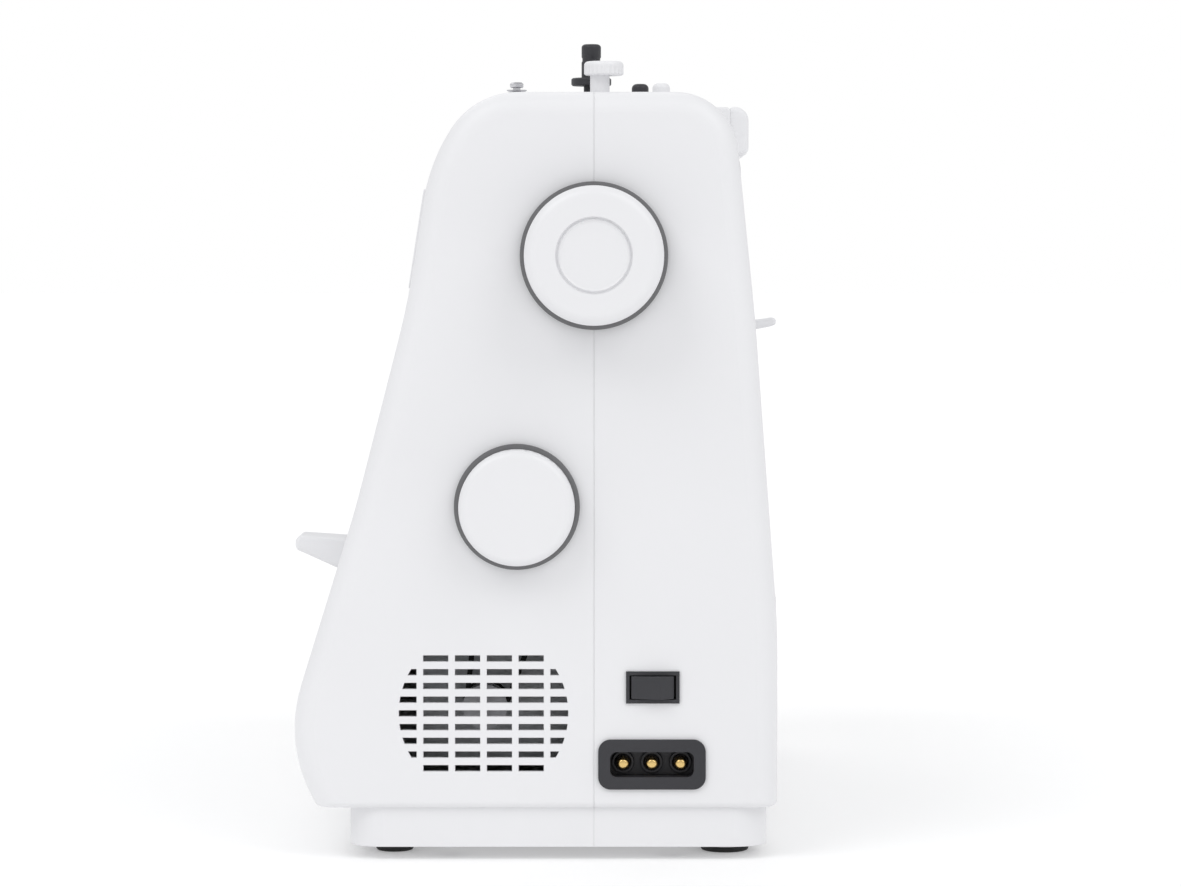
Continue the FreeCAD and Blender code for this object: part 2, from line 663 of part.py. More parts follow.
def lower_shaft():
    shaft = rod_x(-168, 120, 0, LOWER_SHAFT_Z, LOWER_SHAFT_R)
    gear = rod_x(-166, -154, 0, LOWER_SHAFT_Z, 8.2)
    sprocket = flanged_wheel(*SPROCKET_X, 0, LOWER_SHAFT_Z, SPROCKET_R, 18.6)
    return join(shaft, gear, sprocket)


def cam_stack():
    axle = rod_y(-8, 39, CAM_X, CAM_Z, 3)
    wheel = rod_y(-4, 4, CAM_X, CAM_Z, 19.6)
    cams = []
    for index, (radius, shift) in enumerate(((15, 2), (16, -1.5), (14, 3), (16.5, 1))):
        start = 6 + index * 6
        cams.append(rod_y(start, start + 4, CAM_X + shift, CAM_Z, radius))
    return join(axle, wheel, *cams, rod_y(4, 28, CAM_X, CAM_Z, 8))


# ---------------------------------------------------------------- hook and feed

def rotary_hook():
    basket = rod_z(55.5, 66, NEEDLE_X, HOOK_Y, 17.5).cut(rod_z(56.4, 70, NEEDLE_X, HOOK_Y, 15.9))
    shaft = rod_z(36.2, 56, NEEDLE_X, HOOK_Y, 3)
    gear = rod_z(42, 52, NEEDLE_X, HOOK_Y, 11.4)
    return join(basket, shaft, gear)


def bobbin_holder():
    cup = rod_z(56.7, 67.3, NEEDLE_X, HOOK_Y, 15.6)
    return cup.cut(rod_z(57.7, 70, NEEDLE_X, HOOK_Y, 11.2))


def bobbin():
    z0, z1 = 57.9, 67.1
    flanges = [rod_z(z, z + 0.9, NEEDLE_X, HOOK_Y, 10.25) for z in (z0, z1 - 0.9)]
    return join(rod_z(z0, z1, NEEDLE_X, HOOK_Y, 5.5), *flanges).cut(rod_z(50, 70, NEEDLE_X, HOOK_Y, 3))


def feed_bar():
    return block(-170, -150, 9.5, 23, 56, 58.5, 2)


def feed_dog():
    foot = box(-167, -153, 10, 22, 58.6, 61)
    side_teeth = [box(x, x + 2.5, 2, 22, 58.6, PLATE_TOP - 0.2) for x in (-167, -155.5)]
    middle_teeth = box(-161.2, -158.8, 6, 20, 58.6, PLATE_TOP - 0.2)
    return join(foot, middle_teeth, *side_teeth)


def feed_drop_lever():
    knob = box(-97.5, -91.5, 34.4, ARM_REAR + 0.8, 42.5, 47.5)
    return join(knob, box(-101, -88, 34.4, 35.2, 41, 49))


def needle_plate():
    plate = block(PLATE_LEFT, PLATE_RIGHT, -9, 35, PLATE_TOP - 2, PLATE_TOP, 2)
    slots = [box(x - 0.6, x + 3.1, -0.6, 24.6, 60, 80) for x in (-167, -155.5)]
    middle = box(-161.8, -158.2, 3.4, 22.6, 60, 80)
    needle_hole = block(NEEDLE_X - 3, NEEDLE_X + 3, -1.2, 1.2, 60, 80, 1)
    return cut(plate, *slots, middle, needle_hole)


def hook_cover():
    return block(PLATE_LEFT, PLATE_RIGHT, -39.2, -9.4, 68, PLATE_TOP - 0.2, 2)


def hook_cover_button():
    return join(box(-127, -119, -31, -23, 66.5, 70.6), box(-129, -117, -33, -21, 65.6, 67.2))


def free_arm_cover():
    right = COLUMN_LEFT - GAP
    outside = box(ARM_LEFT, right, ARM_FRONT, ARM_REAR, ARM_FLOOR, BED_TOP)
    outside = round_edges(outside, 8, lambda b: is_upright(b) and b.XMax < ARM_LEFT + 1)
    outside = round_edges(outside, 2, lambda b: b.ZLength < 0.01 and (b.XMax < right - 1 or b.XLength > 50))
    inside = box(ARM_LEFT + ARM_WALL, right + 1, ARM_FRONT + ARM_WALL, ARM_REAR - ARM_WALL,
                 ARM_FLOOR + ARM_WALL, BED_TOP - ARM_WALL)
    inside = round_edges(inside, 5.5, lambda b: is_upright(b) and b.XMax < ARM_LEFT + 5)
    well = box(PLATE_LEFT - 0.2, PLATE_RIGHT + 0.2, -39.5, 35.2, 60, 80)
    drop_slot = box(-98, -79, 30, 45, 42, 48)
    button_slot = box(-127.3, -116.6, -31.3, -22.7, 60, 80)
    return cut(outside, inside, well, drop_slot, button_slot)


# ---------------------------------------------------------------- extension table

def table_plan(inset, z0, z1):
    """The table's footprint, U-shaped round the free arm."""
    plan = box(LEFT_END + inset, TABLE_RIGHT - inset, -150, 100, z0, z1)
    corners = box(LEFT_END + inset, TABLE_RIGHT - inset, -111 + inset, 69 - inset, z0, z1)
    corners = round_edges(corners, 14 - inset, lambda b: is_upright(b) and b.XMax < LEFT_END + 5)
    left_end = box(LEFT_END, LEFT_END + 14, -150, 100, z0, z1)
    slot = box(-194.5 - inset, 100, ARM_FRONT - 1.5 - inset, ARM_REAR + 1.5 + inset, z0, z1)
    return join(plan.cut(left_end), corners).cut(slot)


def extension_table():
    outside = casing_prism(LEFT_END, TABLE_RIGHT).common(table_plan(0, TABLE_BOTTOM, BED_TOP))
    inside = casing_prism(LEFT_END, TABLE_RIGHT, TABLE_WALL).common(
        table_plan(TABLE_WALL, TABLE_BOTTOM + TABLE_WALL, BED_TOP - TABLE_WALL))
    doorway = box(-185, 40, -130, -98, LID_PIVOT[1] - 1.9, 64)
    table = cut(outside, inside, doorway)
    y, z = LID_PIVOT
    return table.cut(rod_x(-187.5, 42.5, y, z, 1.0 + RUN))


def accessory_lid():
    skin = casing_prism(-184.7, 39.7).cut(casing_prism(-190, 50, TABLE_WALL))
    lid = skin.common(box(-184.7, 39.7, -130, -98, LID_PIVOT[1] - 1.1, 63.7))
    y, z = LID_PIVOT
    return join(lid, rod_x(-187.2, 42.2, y, z, 1.0))


# ---------------------------------------------------------------- sewing head

def needle_bar():
    bar = rod_z(118, 282, NEEDLE_X, 0, NEEDLE_BAR_R)
    return bar.cut(rod_z(117, 130.5, NEEDLE_X, 0, 1.0))


def needle_clamp():
    collar = rod_z(116, 127, NEEDLE_X, 0, 5.2).cut(rod_z(118, 130, NEEDLE_X, 0, NEEDLE_BAR_R))
    collar = collar.cut(rod_z(115, 119, NEEDLE_X, 0, 1.0))
    neck = rod_x(NEEDLE_X + 4.6, NEEDLE_X + 9, 0, 122, 1.5)
    knob = rod_x(NEEDLE_X + 8.5, NEEDLE_X + 14, 0, 122, 4)
    return join(collar, neck, knob)


def needle():
    shank = rod_z(117, 130, NEEDLE_X, 0, 1.0)
    blade = rod_z(96, 117.5, NEEDLE_X, 0, 0.45)
    tip = Part.makeCone(0.05, 0.45, 4, V(NEEDLE_X, 0, 92))
    return join(shank, blade, tip)


def presser_bar():
    bar = rod_z(92, 262, NEEDLE_X, PRESSER_Y, PRESSER_BAR_R)
    bracket = box(NEEDLE_X - 5, NEEDLE_X + 5, PRESSER_Y - 4.5, 24.5, 196, 202)
    return join(bar, bracket)


def presser_spring():
    """The space that the foot's pressure spring takes up round the presser bar."""
    sleeve = rod_z(203, 243, NEEDLE_X, PRESSER_Y, 4.6)
    return sleeve.cut(rod_z(200, 250, NEEDLE_X, PRESSER_Y, 3.6))


def foot_holder():
    holder = block(NEEDLE_X - 4.5, NEEDLE_X + 4.5, 6.2, 19, 84.6, 104, 2)
    holder = holder.cut(rod_z(92, 110, NEEDLE_X, PRESSER_Y, PRESSER_BAR_R))
    screw = rod_x(NEEDLE_X - 12, NEEDLE_X - 4, PRESSER_Y, 98, 3.5)
    cheeks = [box(x, x + 1.5, 6.2, 12, 79, 86) for x in (NEEDLE_X - 4.5, NEEDLE_X + 3)]
    hole = rod_x(NEEDLE_X - 6, NEEDLE_X + 6, *FOOT_PIN, FOOT_PIN_R + RUN)
    return cut(join(holder, screw.cut(rod_z(92, 110, NEEDLE_X, PRESSER_Y, PRESSER_BAR_R)), *cheeks), hole)


def presser_foot():
    sole = block(NEEDLE_X - 8, NEEDLE_X + 8, FOOT_TOE, FOOT_HEEL, *SOLE_Z, 2)
    window = block(NEEDLE_X - 3.5, NEEDLE_X + 3.5, -3.5, 3.5, 70, 90, 1)
    toe_gap = box(NEEDLE_X - 1.6, NEEDLE_X + 1.6, FOOT_TOE - 1, -3, 70, 90)
    ears = [box(x, x + 1.2, 5.5, 10.5, 78, 83.2) for x in (NEEDLE_X - 7.2, NEEDLE_X + 6)]
    pin = rod_x(NEEDLE_X - 6.5, NEEDLE_X + 6.5, *FOOT_PIN, FOOT_PIN_R)
    return join(cut(sole, window, toe_gap), *ears, pin)


def presser_lifter():
    y, z = LIFTER
    left, right = LIFTER_X
    hub = rod_x(left - 0.5, right + 0.5, y, z, 5)
    arm = plate_yz(left, right, [(y, z - 2, 0), (58, 192.8, 0), (80, 196.6, 0), (84, 197.6, 1.6),
                                 (84, 201.4, 1.6), (78, 200.4, 0), (56, 197.6, 0), (y, z + 3, 0)])
    return join(hub, arm).cut(rod_x(left - 5, right + 3, y, z, 2 + RUN))


def take_up_lever():
    y, z = TAKE_UP
    reach = math.radians(28)
    tip_y, tip_z = y - 53 * math.cos(reach), z - 53 * math.sin(reach)
    arm = belt_loop(-170, -167.5, (y, z), 5, (tip_y + 3, tip_z + 1.6), 3)
    eye = rod_x(-171, -166, tip_y + 3.6, tip_z + 2, 1.2)
    return cut(arm, eye, rod_x(-171, -166, y, z, 2.5 + RUN))


# ---------------------------------------------------------------- top and front controls

def carrying_handle():
    y, z = HANDLE_PIVOT
    front, rear, low, high = GRIP
    outline = [(y - 5.5, z - 5.5, 5.4), (front, z - 5.5, 0), (front, low, 2.5), (rear, low, 4),
               (rear, high, 6), (34, high - 0.2, 0), (18, z + 5.6, 0), (y - 5.5, z + 5.5, 5.4)]
    inner, outer = (HANDLE_MIDDLE + reach for reach in HANDLE_ARM_X)
    section = [(front, low, 2.5), (rear, low, 4), (rear, high, 6), (front, high, 2.5)]
    grip = plate_yz(2 * HANDLE_MIDDLE - outer, outer, section)
    parts = [grip]
    for side in (1, -1):
        arm = plate_yz(inner, outer, outline)
        pin = rod_x(outer - 1, outer + 2.8, y, z, 3)
        arm = join(arm, pin)
        parts.append(arm if side > 0 else arm.mirror(V(HANDLE_MIDDLE, 0, 0), V(1, 0, 0)))
    return join(*parts)


def spool_pin(name):
    x, y, tip = SPOOL_PINS[name]
    pin = rod_z(228, tip, x, y, 3.5)
    return round_edges(pin, 2, lambda b: b.ZLength < 0.01 and b.ZMin > tip - 0.1)


def winder_lever():
    x, y = WINDER
    arm = block(x - 7, x + 7, y - 6, WINDER_PIVOT[1] + 7, 268, 271, 5)
    hubs = [rod_z(266.4, 273, x, y, 5.5), rod_z(266.4, 273.5, WINDER_PIVOT[0], WINDER_PIVOT[1], 6.5)]
    bores = [rod_z(260, 280, x, y, 3 + RUN), rod_z(260, 280, WINDER_PIVOT[0], WINDER_PIVOT[1], 3 + RUN)]
    return cut(join(arm, *hubs), *bores)


def winder_spindle():
    x, y = WINDER
    shaft = rod_z(240, 295, x, y, 3)
    tyre = rod_z(246, 252, x, y, 6.5)
    collars = [rod_z(264.4, 266.2, x, y, 5), rod_z(273.2, 275, x, y, 5)]
    seat = rod_z(294, 297, x, y, 7.7)
    tip = round_edges(rod_z(296, 310, x, y, 3.75), 1, lambda b: b.ZLength < 0.01 and b.ZMin > 309)
    return join(shaft, tyre, *collars, seat, tip)


def winder_stopper():
    post = rod_z(TOP, 297.5, STOPPER_X, 2.25, 3.75)
    head = rod_z(297, 302.4, STOPPER_X, 3.75, 7.5)
    return join(post, round_edges(head, 1.5, lambda b: b.ZLength < 0.01))


def thread_guides():
    """The bobbin-thread tension disc and the spool-thread hook on top of the arm."""
    x, y = GUIDE
    post = rod_z(TOP - 0.8, 303.5, x, y, 1.6)
    discs = [rod_z(z, z + 2, x, y, 4.3) for z in (TOP + 5, TOP + 9)]
    hook = join(box(-118, -104, -10, -6, TOP, TOP + 2), box(-118, -115.5, -10, -6, TOP, TOP + 7),
                box(-118, -106, -10, -6, TOP + 5, TOP + 7))
    return Part.makeCompound([join(cut(post, box(x - 5, x + 5, y - 5, y + 5, TOP - 5, TOP)), *discs), hook])


def tension_discs():
    discs = []
    for depth in (-8.5, -10.5):
        disc = rod_z(depth, depth + 0.9, 0, 0, 9).cut(rod_z(-15, 0, 0, 0, 3.2))
        discs.append(on_front(disc, DIALS["tension"], DIAL_Z))
    return Part.makeCompound(discs)


def front_dial(name):
    knob = rod_z(GAP, 5.8, 0, 0, DIAL_R)
    knob = round_edges(knob, 1.5, lambda b: b.ZLength < 0.01 and b.ZMin > 5)
    return on_front(join(knob, rod_z(-16, 1, 0, 0, 3)), DIALS[name], DIAL_Z)


def pattern_window():
    plate = block(WINDOW_X[0], WINDOW_X[1], -12.5, 12.5, -0.9, 0.4, 3)
    return on_front(plate, 0, DIAL_Z)


def work_lamp():
    return round_edges(box(-165, -147, -52, -34, 151.4, 156.5), 3, is_upright)


def reverse_lever():
    y, z = REVERSE_PIVOT
    outline = [(y + 4, z - 4, 3), (-97, 106.4, 6), (-116, 114.9, 2.4), (-116, 120.1, 2.4),
               (-98, 118.9, 8), (y + 4, z + 5, 3)]
    lever = plate_yz(REVERSE_X[0], REVERSE_X[1], outline)
    return join(lever, rod_x(REVERSE_X[0] - 4, REVERSE_X[1] + 4, y, z, 2.5))


# ---------------------------------------------------------------- export

def parts():
    shell = casing_shell()
    made = {
        "front_cover": front_cover(shell), "rear_cover": rear_cover(shell), "face_cover": face_cover(shell),
        "base": base(), "feet": feet(), "cover_screws": cover_screws(),
        "handwheel_cap": handwheel_cap(), "handwheel_ring": handwheel_ring(),
        "selector_bezel": selector_bezel(), "selector_dial": selector_dial(),
        "inlet_socket": inlet_socket(), "inlet_pins": inlet_pins(),
        "switch_housing": switch_housing(), "switch_rocker": switch_rocker(),
        "machine_frame": machine_frame(), "bearing_bushes": bearing_bushes(),
        "arm_shaft": arm_shaft(), "needle_crank": needle_crank(), "drive_pulley": drive_pulley(),
        "motor_body": motor_body(), "motor_pulley": motor_pulley(), "motor_belt": motor_belt(),
        "timing_belt": timing_belt(), "lower_shaft": lower_shaft(), "cam_stack": cam_stack(),
        "rotary_hook": rotary_hook(), "bobbin_holder": bobbin_holder(), "bobbin": bobbin(),
        "feed_bar": feed_bar(), "feed_dog": feed_dog(), "feed_drop_lever": feed_drop_lever(),
        "needle_plate": needle_plate(), "hook_cover": hook_cover(), "hook_cover_button": hook_cover_button(),
        "free_arm_cover": free_arm_cover(), "extension_table": extension_table(),
        "accessory_lid": accessory_lid(), "needle_bar": needle_bar(), "needle_clamp": needle_clamp(),
        "needle": needle(), "presser_bar": presser_bar(), "presser_spring": presser_spring(),
        "foot_holder": foot_holder(), "presser_foot": presser_foot(), "presser_lifter": presser_lifter(),
        "take_up_lever": take_up_lever(), "carrying_handle": carrying_handle(),
        "spool_pin_left": spool_pin("left"), "spool_pin_right": spool_pin("right"),
        "winder_lever": winder_lever(), "winder_spindle": winder_spindle(),
        "winder_stopper": winder_stopper(), "thread_guides": thread_guides(),
        "tension_discs": tension_discs(), "pattern_window": pattern_window(), "work_lamp": work_lamp(),
        "reverse_lever": reverse_lever()}
    for name in DIALS:
        made[name + "_dial"] = front_dial(name)
    return made


os.makedirs("parts", exist_ok=True)
for node, shape in parts().items():
    shape.translate(V(0, SEAM_Y, 0))
    shape.exportStep("parts/" + node + ".step")
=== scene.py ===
import json
import math

import bpy
import bmesh
from mathutils import Matrix, Vector


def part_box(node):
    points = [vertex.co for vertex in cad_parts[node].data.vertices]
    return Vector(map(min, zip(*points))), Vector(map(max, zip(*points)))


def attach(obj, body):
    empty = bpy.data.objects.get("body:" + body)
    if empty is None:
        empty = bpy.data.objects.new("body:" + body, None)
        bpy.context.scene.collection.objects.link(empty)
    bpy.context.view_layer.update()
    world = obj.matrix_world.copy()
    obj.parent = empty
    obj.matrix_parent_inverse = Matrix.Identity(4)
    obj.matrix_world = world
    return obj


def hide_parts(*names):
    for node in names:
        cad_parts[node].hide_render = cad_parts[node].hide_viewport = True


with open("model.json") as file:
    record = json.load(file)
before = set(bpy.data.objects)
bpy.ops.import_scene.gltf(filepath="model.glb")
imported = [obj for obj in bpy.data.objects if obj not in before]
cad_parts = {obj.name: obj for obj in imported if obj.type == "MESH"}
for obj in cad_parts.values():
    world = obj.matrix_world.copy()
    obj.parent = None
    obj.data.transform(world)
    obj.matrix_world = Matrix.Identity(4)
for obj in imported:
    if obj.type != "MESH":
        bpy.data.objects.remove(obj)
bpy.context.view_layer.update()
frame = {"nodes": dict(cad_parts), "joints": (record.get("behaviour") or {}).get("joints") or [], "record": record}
MM = 0.001

# the seam plane of the casing and the flat right-hand end, read from the frame
pivots = {joint["name"]: joint for joint in frame["joints"]}
SEAM_Y = pivots["handwheel_turn"]["pos_m"][1]
WHEEL_Z = pivots["handwheel_turn"]["pos_m"][2]
END_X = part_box("selector_bezel")[0][0]
DIAL_JOINTS = {"length_dial": "stitch_length_turn", "width_dial": "stitch_width_turn",
               "tension": "tension_turn"}


# ---------------------------------------------------------------- materials

def shader_of(material):
    return material.node_tree.nodes["Principled BSDF"]


def new_material(name, colour, roughness, metallic=0.0, specular=0.5):
    material = bpy.data.materials.new(name)
    material.use_nodes = True
    inputs = shader_of(material).inputs
    inputs["Base Color"].default_value = (*colour, 1)
    inputs["Roughness"].default_value = roughness
    inputs["Metallic"].default_value = metallic
    inputs["Specular IOR Level"].default_value = specular
    return material


def node(material, kind, **values):
    """A new node, with its inputs or its settings given by name."""
    made = material.node_tree.nodes.new(kind)
    for key, value in values.items():
        if key in made.inputs:
            made.inputs[key].default_value = value
        else:
            setattr(made, key, value)
    return made


def wire(material, source, target):
    material.node_tree.links.new(source, target)


def noise_in(material, scale, detail, roughness=0.5, stretch=(1, 1, 1)):
    """Noise in object space, finer along an axis that is stretched."""
    place = node(material, "ShaderNodeTexCoord")
    squeeze = node(material, "ShaderNodeMapping", Scale=stretch)
    noise = node(material, "ShaderNodeTexNoise", Scale=scale, Detail=detail, Roughness=roughness)
    wire(material, place.outputs["Object"], squeeze.inputs["Vector"])
    wire(material, squeeze.outputs["Vector"], noise.inputs["Vector"])
    return noise.outputs["Fac"]


def add_bump(material, height, strength, distance):
    bump = node(material, "ShaderNodeBump", Strength=strength, Distance=distance)
    wire(material, height, bump.inputs["Height"])
    wire(material, bump.outputs["Normal"], shader_of(material).inputs["Normal"])
    return bump


def vary_gloss(material, source, span, rough_low, rough_high):
    """Roughness that runs from low to high as the source runs over its span."""
    gloss = node(material, "ShaderNodeMapRange", **{"From Min": span[0], "From Max": span[1],
                                                    "To Min": rough_low, "To Max": rough_high})
    wire(material, source, gloss.inputs["Value"])
    wire(material, gloss.outputs["Result"], shader_of(material).inputs["Roughness"])


def grained(material, scale, strength, distance, soft_edge=0.0):
    """Fine moulded or cast grain, with edges that catch the light if soft_edge is given."""
    bump = add_bump(material, noise_in(material, scale, 3.0, 0.6), strength, distance)
    if soft_edge:
        edge = node(material, "ShaderNodeBevel", samples=6, Radius=soft_edge)
        wire(material, edge.outputs["Normal"], bump.inputs["Normal"])
    return material


def moulded(name, light, dark, roughness, grain=0.06, scale=2600.0, soft_edge=0.0):
    """Satin injection-moulded plastic: a slow variation of shade and gloss under a fine grain."""
    material = new_material(name, light, roughness, specular=0.45)
    source = noise_in(material, 9.0, 4.0, 0.55)
    shades = node(material, "ShaderNodeValToRGB")
    for stop, position, colour in zip(shades.color_ramp.elements, MOTTLE_SPAN, (dark, light)):
        stop.position = position
        stop.color = (*colour, 1)
    wire(material, source, shades.inputs["Fac"])
    wire(material, shades.outputs["Color"], shader_of(material).inputs["Base Color"])
    vary_gloss(material, source, MOTTLE_SPAN, roughness - 0.04, roughness + 0.04)
    return grained(material, scale, grain, 0.00006, soft_edge)


def brushed(name, colour, roughness, stretch):
    """Metal with fine lines along one axis, from a stretched noise."""
    material = new_material(name, colour, roughness, metallic=1.0)
    source = noise_in(material, 900.0, 2.0, stretch=stretch)
    vary_gloss(material, source, (0, 1), roughness - 0.08, roughness + 0.1)
    add_bump(material, source, 0.12, 0.00003)
    return material


def clear_plastic():
    material = new_material("clear_smoke", (0.86, 0.89, 0.91), 0.08, specular=0.5)
    inputs = shader_of(material).inputs
    inputs["Transmission Weight"].default_value = 0.92
    inputs["IOR"].default_value = 1.49
    return grained(material, 500.0, 0.03, 0.00005)


MOTTLE_SPAN = (0.3, 0.7)     # the part of the noise that the mottling uses
WHITE = ((0.80, 0.80, 0.815), (0.785, 0.785, 0.80))


def make_materials():
    made = {
        "casing_white": moulded("casing_moulding", *WHITE, 0.42, soft_edge=0.0003),
        "table_white": moulded("table_moulding", *WHITE, 0.42, soft_edge=0.0003),
        "knob_white": moulded("knob_moulding", *WHITE, 0.3, 0.02),
        "dark_plastic": moulded("dark_moulding", (0.03, 0.03, 0.035), (0.02, 0.02, 0.024), 0.45, 0.1),
        "ring_grey": moulded("ring_moulding", (0.17, 0.17, 0.175), (0.15, 0.15, 0.155), 0.5),
        "rubber_black": moulded("foot_rubber", (0.03, 0.03, 0.03), (0.018, 0.018, 0.018), 0.75,
                                grain=0.2, scale=900.0),
        "steel": brushed("ground_steel", (0.44, 0.44, 0.46), 0.32, (1, 14, 14)),
        "plated": brushed("plated_steel", (0.56, 0.56, 0.58), 0.2, (1, 1, 6)),
        "cast_alloy": grained(new_material("cast_alloy", (0.55, 0.56, 0.58), 0.5, 0.9),
                              700.0, 0.25, 0.0002),
        "bronze": grained(new_material("sintered_bronze", (0.55, 0.36, 0.17), 0.42, 1.0),
                          1800.0, 0.2, 0.0001),
        "brass": brushed("brass_pins", (0.78, 0.55, 0.22), 0.24, (4, 1, 1)),
        "clear_cover": clear_plastic(),
        "lamp_lens": moulded("frosted_lens", (0.90, 0.89, 0.85), (0.86, 0.85, 0.81), 0.5),
        "window_grey": moulded("printed_panel", (0.62, 0.63, 0.66), (0.60, 0.61, 0.64), 0.25, 0.02),
        "control_grey": moulded("control_moulding", (0.45, 0.46, 0.49), (0.42, 0.43, 0.46), 0.35, 0.05),
        "motor_black": moulded("motor_enamel", (0.03, 0.03, 0.033), (0.02, 0.02, 0.022), 0.35,
                               grain=0.1, scale=600.0),
        "nylon": moulded("natural_nylon", (0.74, 0.71, 0.62), (0.70, 0.67, 0.58), 0.4),
        "ink": moulded("dark_print", (0.07, 0.07, 0.08), (0.055, 0.055, 0.065), 0.6),
        "ink_blue": moulded("blue_print", (0.05, 0.10, 0.28), (0.04, 0.085, 0.24), 0.5)}
    return made


MATERIALS = make_materials()


def finish_cad_nodes():
    """Give every carried-over CAD node the material of its record slot."""
    slots = {part["node"]: part["material_slot"] for part in frame["record"]["subparts"]}
    for name, piece in frame["nodes"].items():
        piece.data.materials.clear()
        piece.data.materials.append(MATERIALS[slots[name]])


finish_cad_nodes()


# ---------------------------------------------------------------- places (pieces are drawn in millimetres)

def axes(origin, across, up, out):
    """Matrix from a drawing in millimetres to the frame: origin in metres, and three unit vectors."""
    turn = Matrix((across, up, out)).transposed().to_4x4()
    return Matrix.Translation(origin) @ turn @ Matrix.Scale(MM, 4)


def at(x, y, z):
    """A point in metres from millimetres measured from the seam plane."""
    return Vector((x * MM, SEAM_Y + y * MM, z * MM))


def facing_right(origin):
    return axes(origin, (0, 1, 0), (0, 0, 1), (1, 0, 0))


def facing_up(origin):
    return axes(origin, (1, 0, 0), (0, 1, 0), (0, 0, 1))


def facing(origin, normal, up=(0, 0, 1)):
    """A place on a skin: the drawing's Z along the normal, and its Y as near to up as the skin allows."""
    out = Vector(normal).normalized()
    across = Vector(up).cross(out).normalized()
    return axes(origin, across, out.cross(across), out)


def centre(node):
    low_corner, high_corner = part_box(node)
    return (Vector(low_corner) + Vector(high_corner)) / 2


def corners_mm(node):
    """The low and high corners of a CAD node's box, in millimetres."""
    low_corner, high_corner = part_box(node)
    return Vector(low_corner) / MM, Vector(high_corner) / MM


def pivot_yz(joint):
    """A joint's pivot as (y, z) in millimetres, measured from the seam plane."""
    place = pivots[joint]["pos_m"]
    return (place[1] - SEAM_Y) / MM, place[2] / MM


def skin(node, x, y, z, direction):
    """Where a ray meets a CAD node's skin, and its normal: a place that faces outward there."""
    hit, place, normal, _ = frame["nodes"][node].ray_cast(at(x, y, z), Vector(direction))
    if not hit:
        raise RuntimeError(f"no skin of {node} there")
    return facing(place, normal if normal.dot(Vector(direction)) < 0 else -normal,
                  (0, 0, 1) if abs(direction[2]) < 0.5 else (0, 1, 0))


ABOVE = 330.0            # higher than anything, for rays that come down
DIAL_PIVOT = Vector(pivots["stitch_length_turn"]["pos_m"])
FRONT_OUT = Vector(pivots["stitch_length_turn"]["axis"]).normalized()
FRONT_UP = FRONT_OUT.cross(Vector((1, 0, 0)))


def on_front(x, up=0.0, out=0.0):
    """A place on the slanted front skin, at the height of the dials plus up."""
    origin = Vector((x * MM, DIAL_PIVOT.y, DIAL_PIVOT.z)) + FRONT_UP * up * MM + FRONT_OUT * out * MM
    return axes(origin, (1, 0, 0), FRONT_UP, FRONT_OUT)


# ---------------------------------------------------------------- mesh tools

def finish_piece(name, mesh, body, slot, material=None, replaced=(), angle=35):
    """Smooth-shade a mesh, give it its material, and hang it on its body."""
    mesh.shade_smooth()
    mesh.set_sharp_from_angle(angle=math.radians(angle))
    mesh.materials.clear()
    mesh.materials.append(material or MATERIALS[slot])
    piece = bpy.data.objects.new(name, mesh)
    bpy.context.scene.collection.objects.link(piece)
    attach(piece, body)
    if replaced:
        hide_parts(*replaced)
    return piece


def joined(*meshes):
    """One mesh from several, which are used up."""
    work = bmesh.new()
    for mesh in meshes:
        work.from_mesh(mesh)
        bpy.data.meshes.remove(mesh)
    made = bpy.data.meshes.new("joined")
    work.to_mesh(made)
    work.free()
    return made


def arc(x, r, radius, start, end, steps=8):
    """Profile points round (x, r), from start to end in degrees, 0 along the axis and 90 outward."""
    points = []
    for step in range(steps + 1):
        angle = math.radians(start + (end - start) * step / steps)
        points.append((x + radius * math.cos(angle), r + radius * math.sin(angle)))
    return points


def turned(profile, place, steps=96, flutes=0, depth=0.0, fluted=(0.0, 0.0)):
    """A surface of revolution about the drawing's Z, from (z, radius) points, with optional grip flutes."""
    work = bmesh.new()
    rings = []
    for z, radius in profile:
        if radius < 1e-6:
            rings.append([work.verts.new((0, 0, z))])
            continue
        ring = []
        for step in range(steps):
            angle = 2 * math.pi * step / steps
            grip = depth * (0.5 - 0.5 * math.cos(flutes * angle)) if fluted[0] < z < fluted[1] else 0.0
            reach = radius - grip
            ring.append(work.verts.new((reach * math.cos(angle), reach * math.sin(angle), z)))
        rings.append(ring)
    for low_ring, high_ring in zip(rings, rings[1:]):
        for step in range(steps):
            after = (step + 1) % steps
            if len(low_ring) == 1 and len(high_ring) == 1:
                continue
            if len(low_ring) == 1:
                work.faces.new((low_ring[0], high_ring[after], high_ring[step]))
            elif len(high_ring) == 1:
                work.faces.new((low_ring[step], low_ring[after], high_ring[0]))
            else:
                work.faces.new((low_ring[step], low_ring[after], high_ring[after], high_ring[step]))
    bmesh.ops.recalc_face_normals(work, faces=work.faces)
    mesh = bpy.data.meshes.new("turned")
    work.to_mesh(mesh)
    work.free()
    mesh.transform(place)
    return mesh


def rounded(corners, steps=6):
    """A closed outline whose corners (x, y, radius) are rounded by arcs."""
    points = []
    count = len(corners)
    for index, (x, y, radius) in enumerate(corners):
        here = Vector((x, y))
        if radius <= 0:
            points.append(here)
            continue
        back = (Vector(corners[index - 1][:2]) - here).normalized()
        ahead = (Vector(corners[(index + 1) % count][:2]) - here).normalized()
        half = back.angle(ahead) / 2
        reach = radius / math.tan(half)
        middle = here + (back + ahead).normalized() * radius / math.sin(half)
        start = here + back * reach - middle
        turn = start.angle_signed(here + ahead * reach - middle)
        for step in range(steps + 1):
            angle = -turn * step / steps
            points.append(middle + Matrix.Rotation(angle, 2) @ start)
    return points


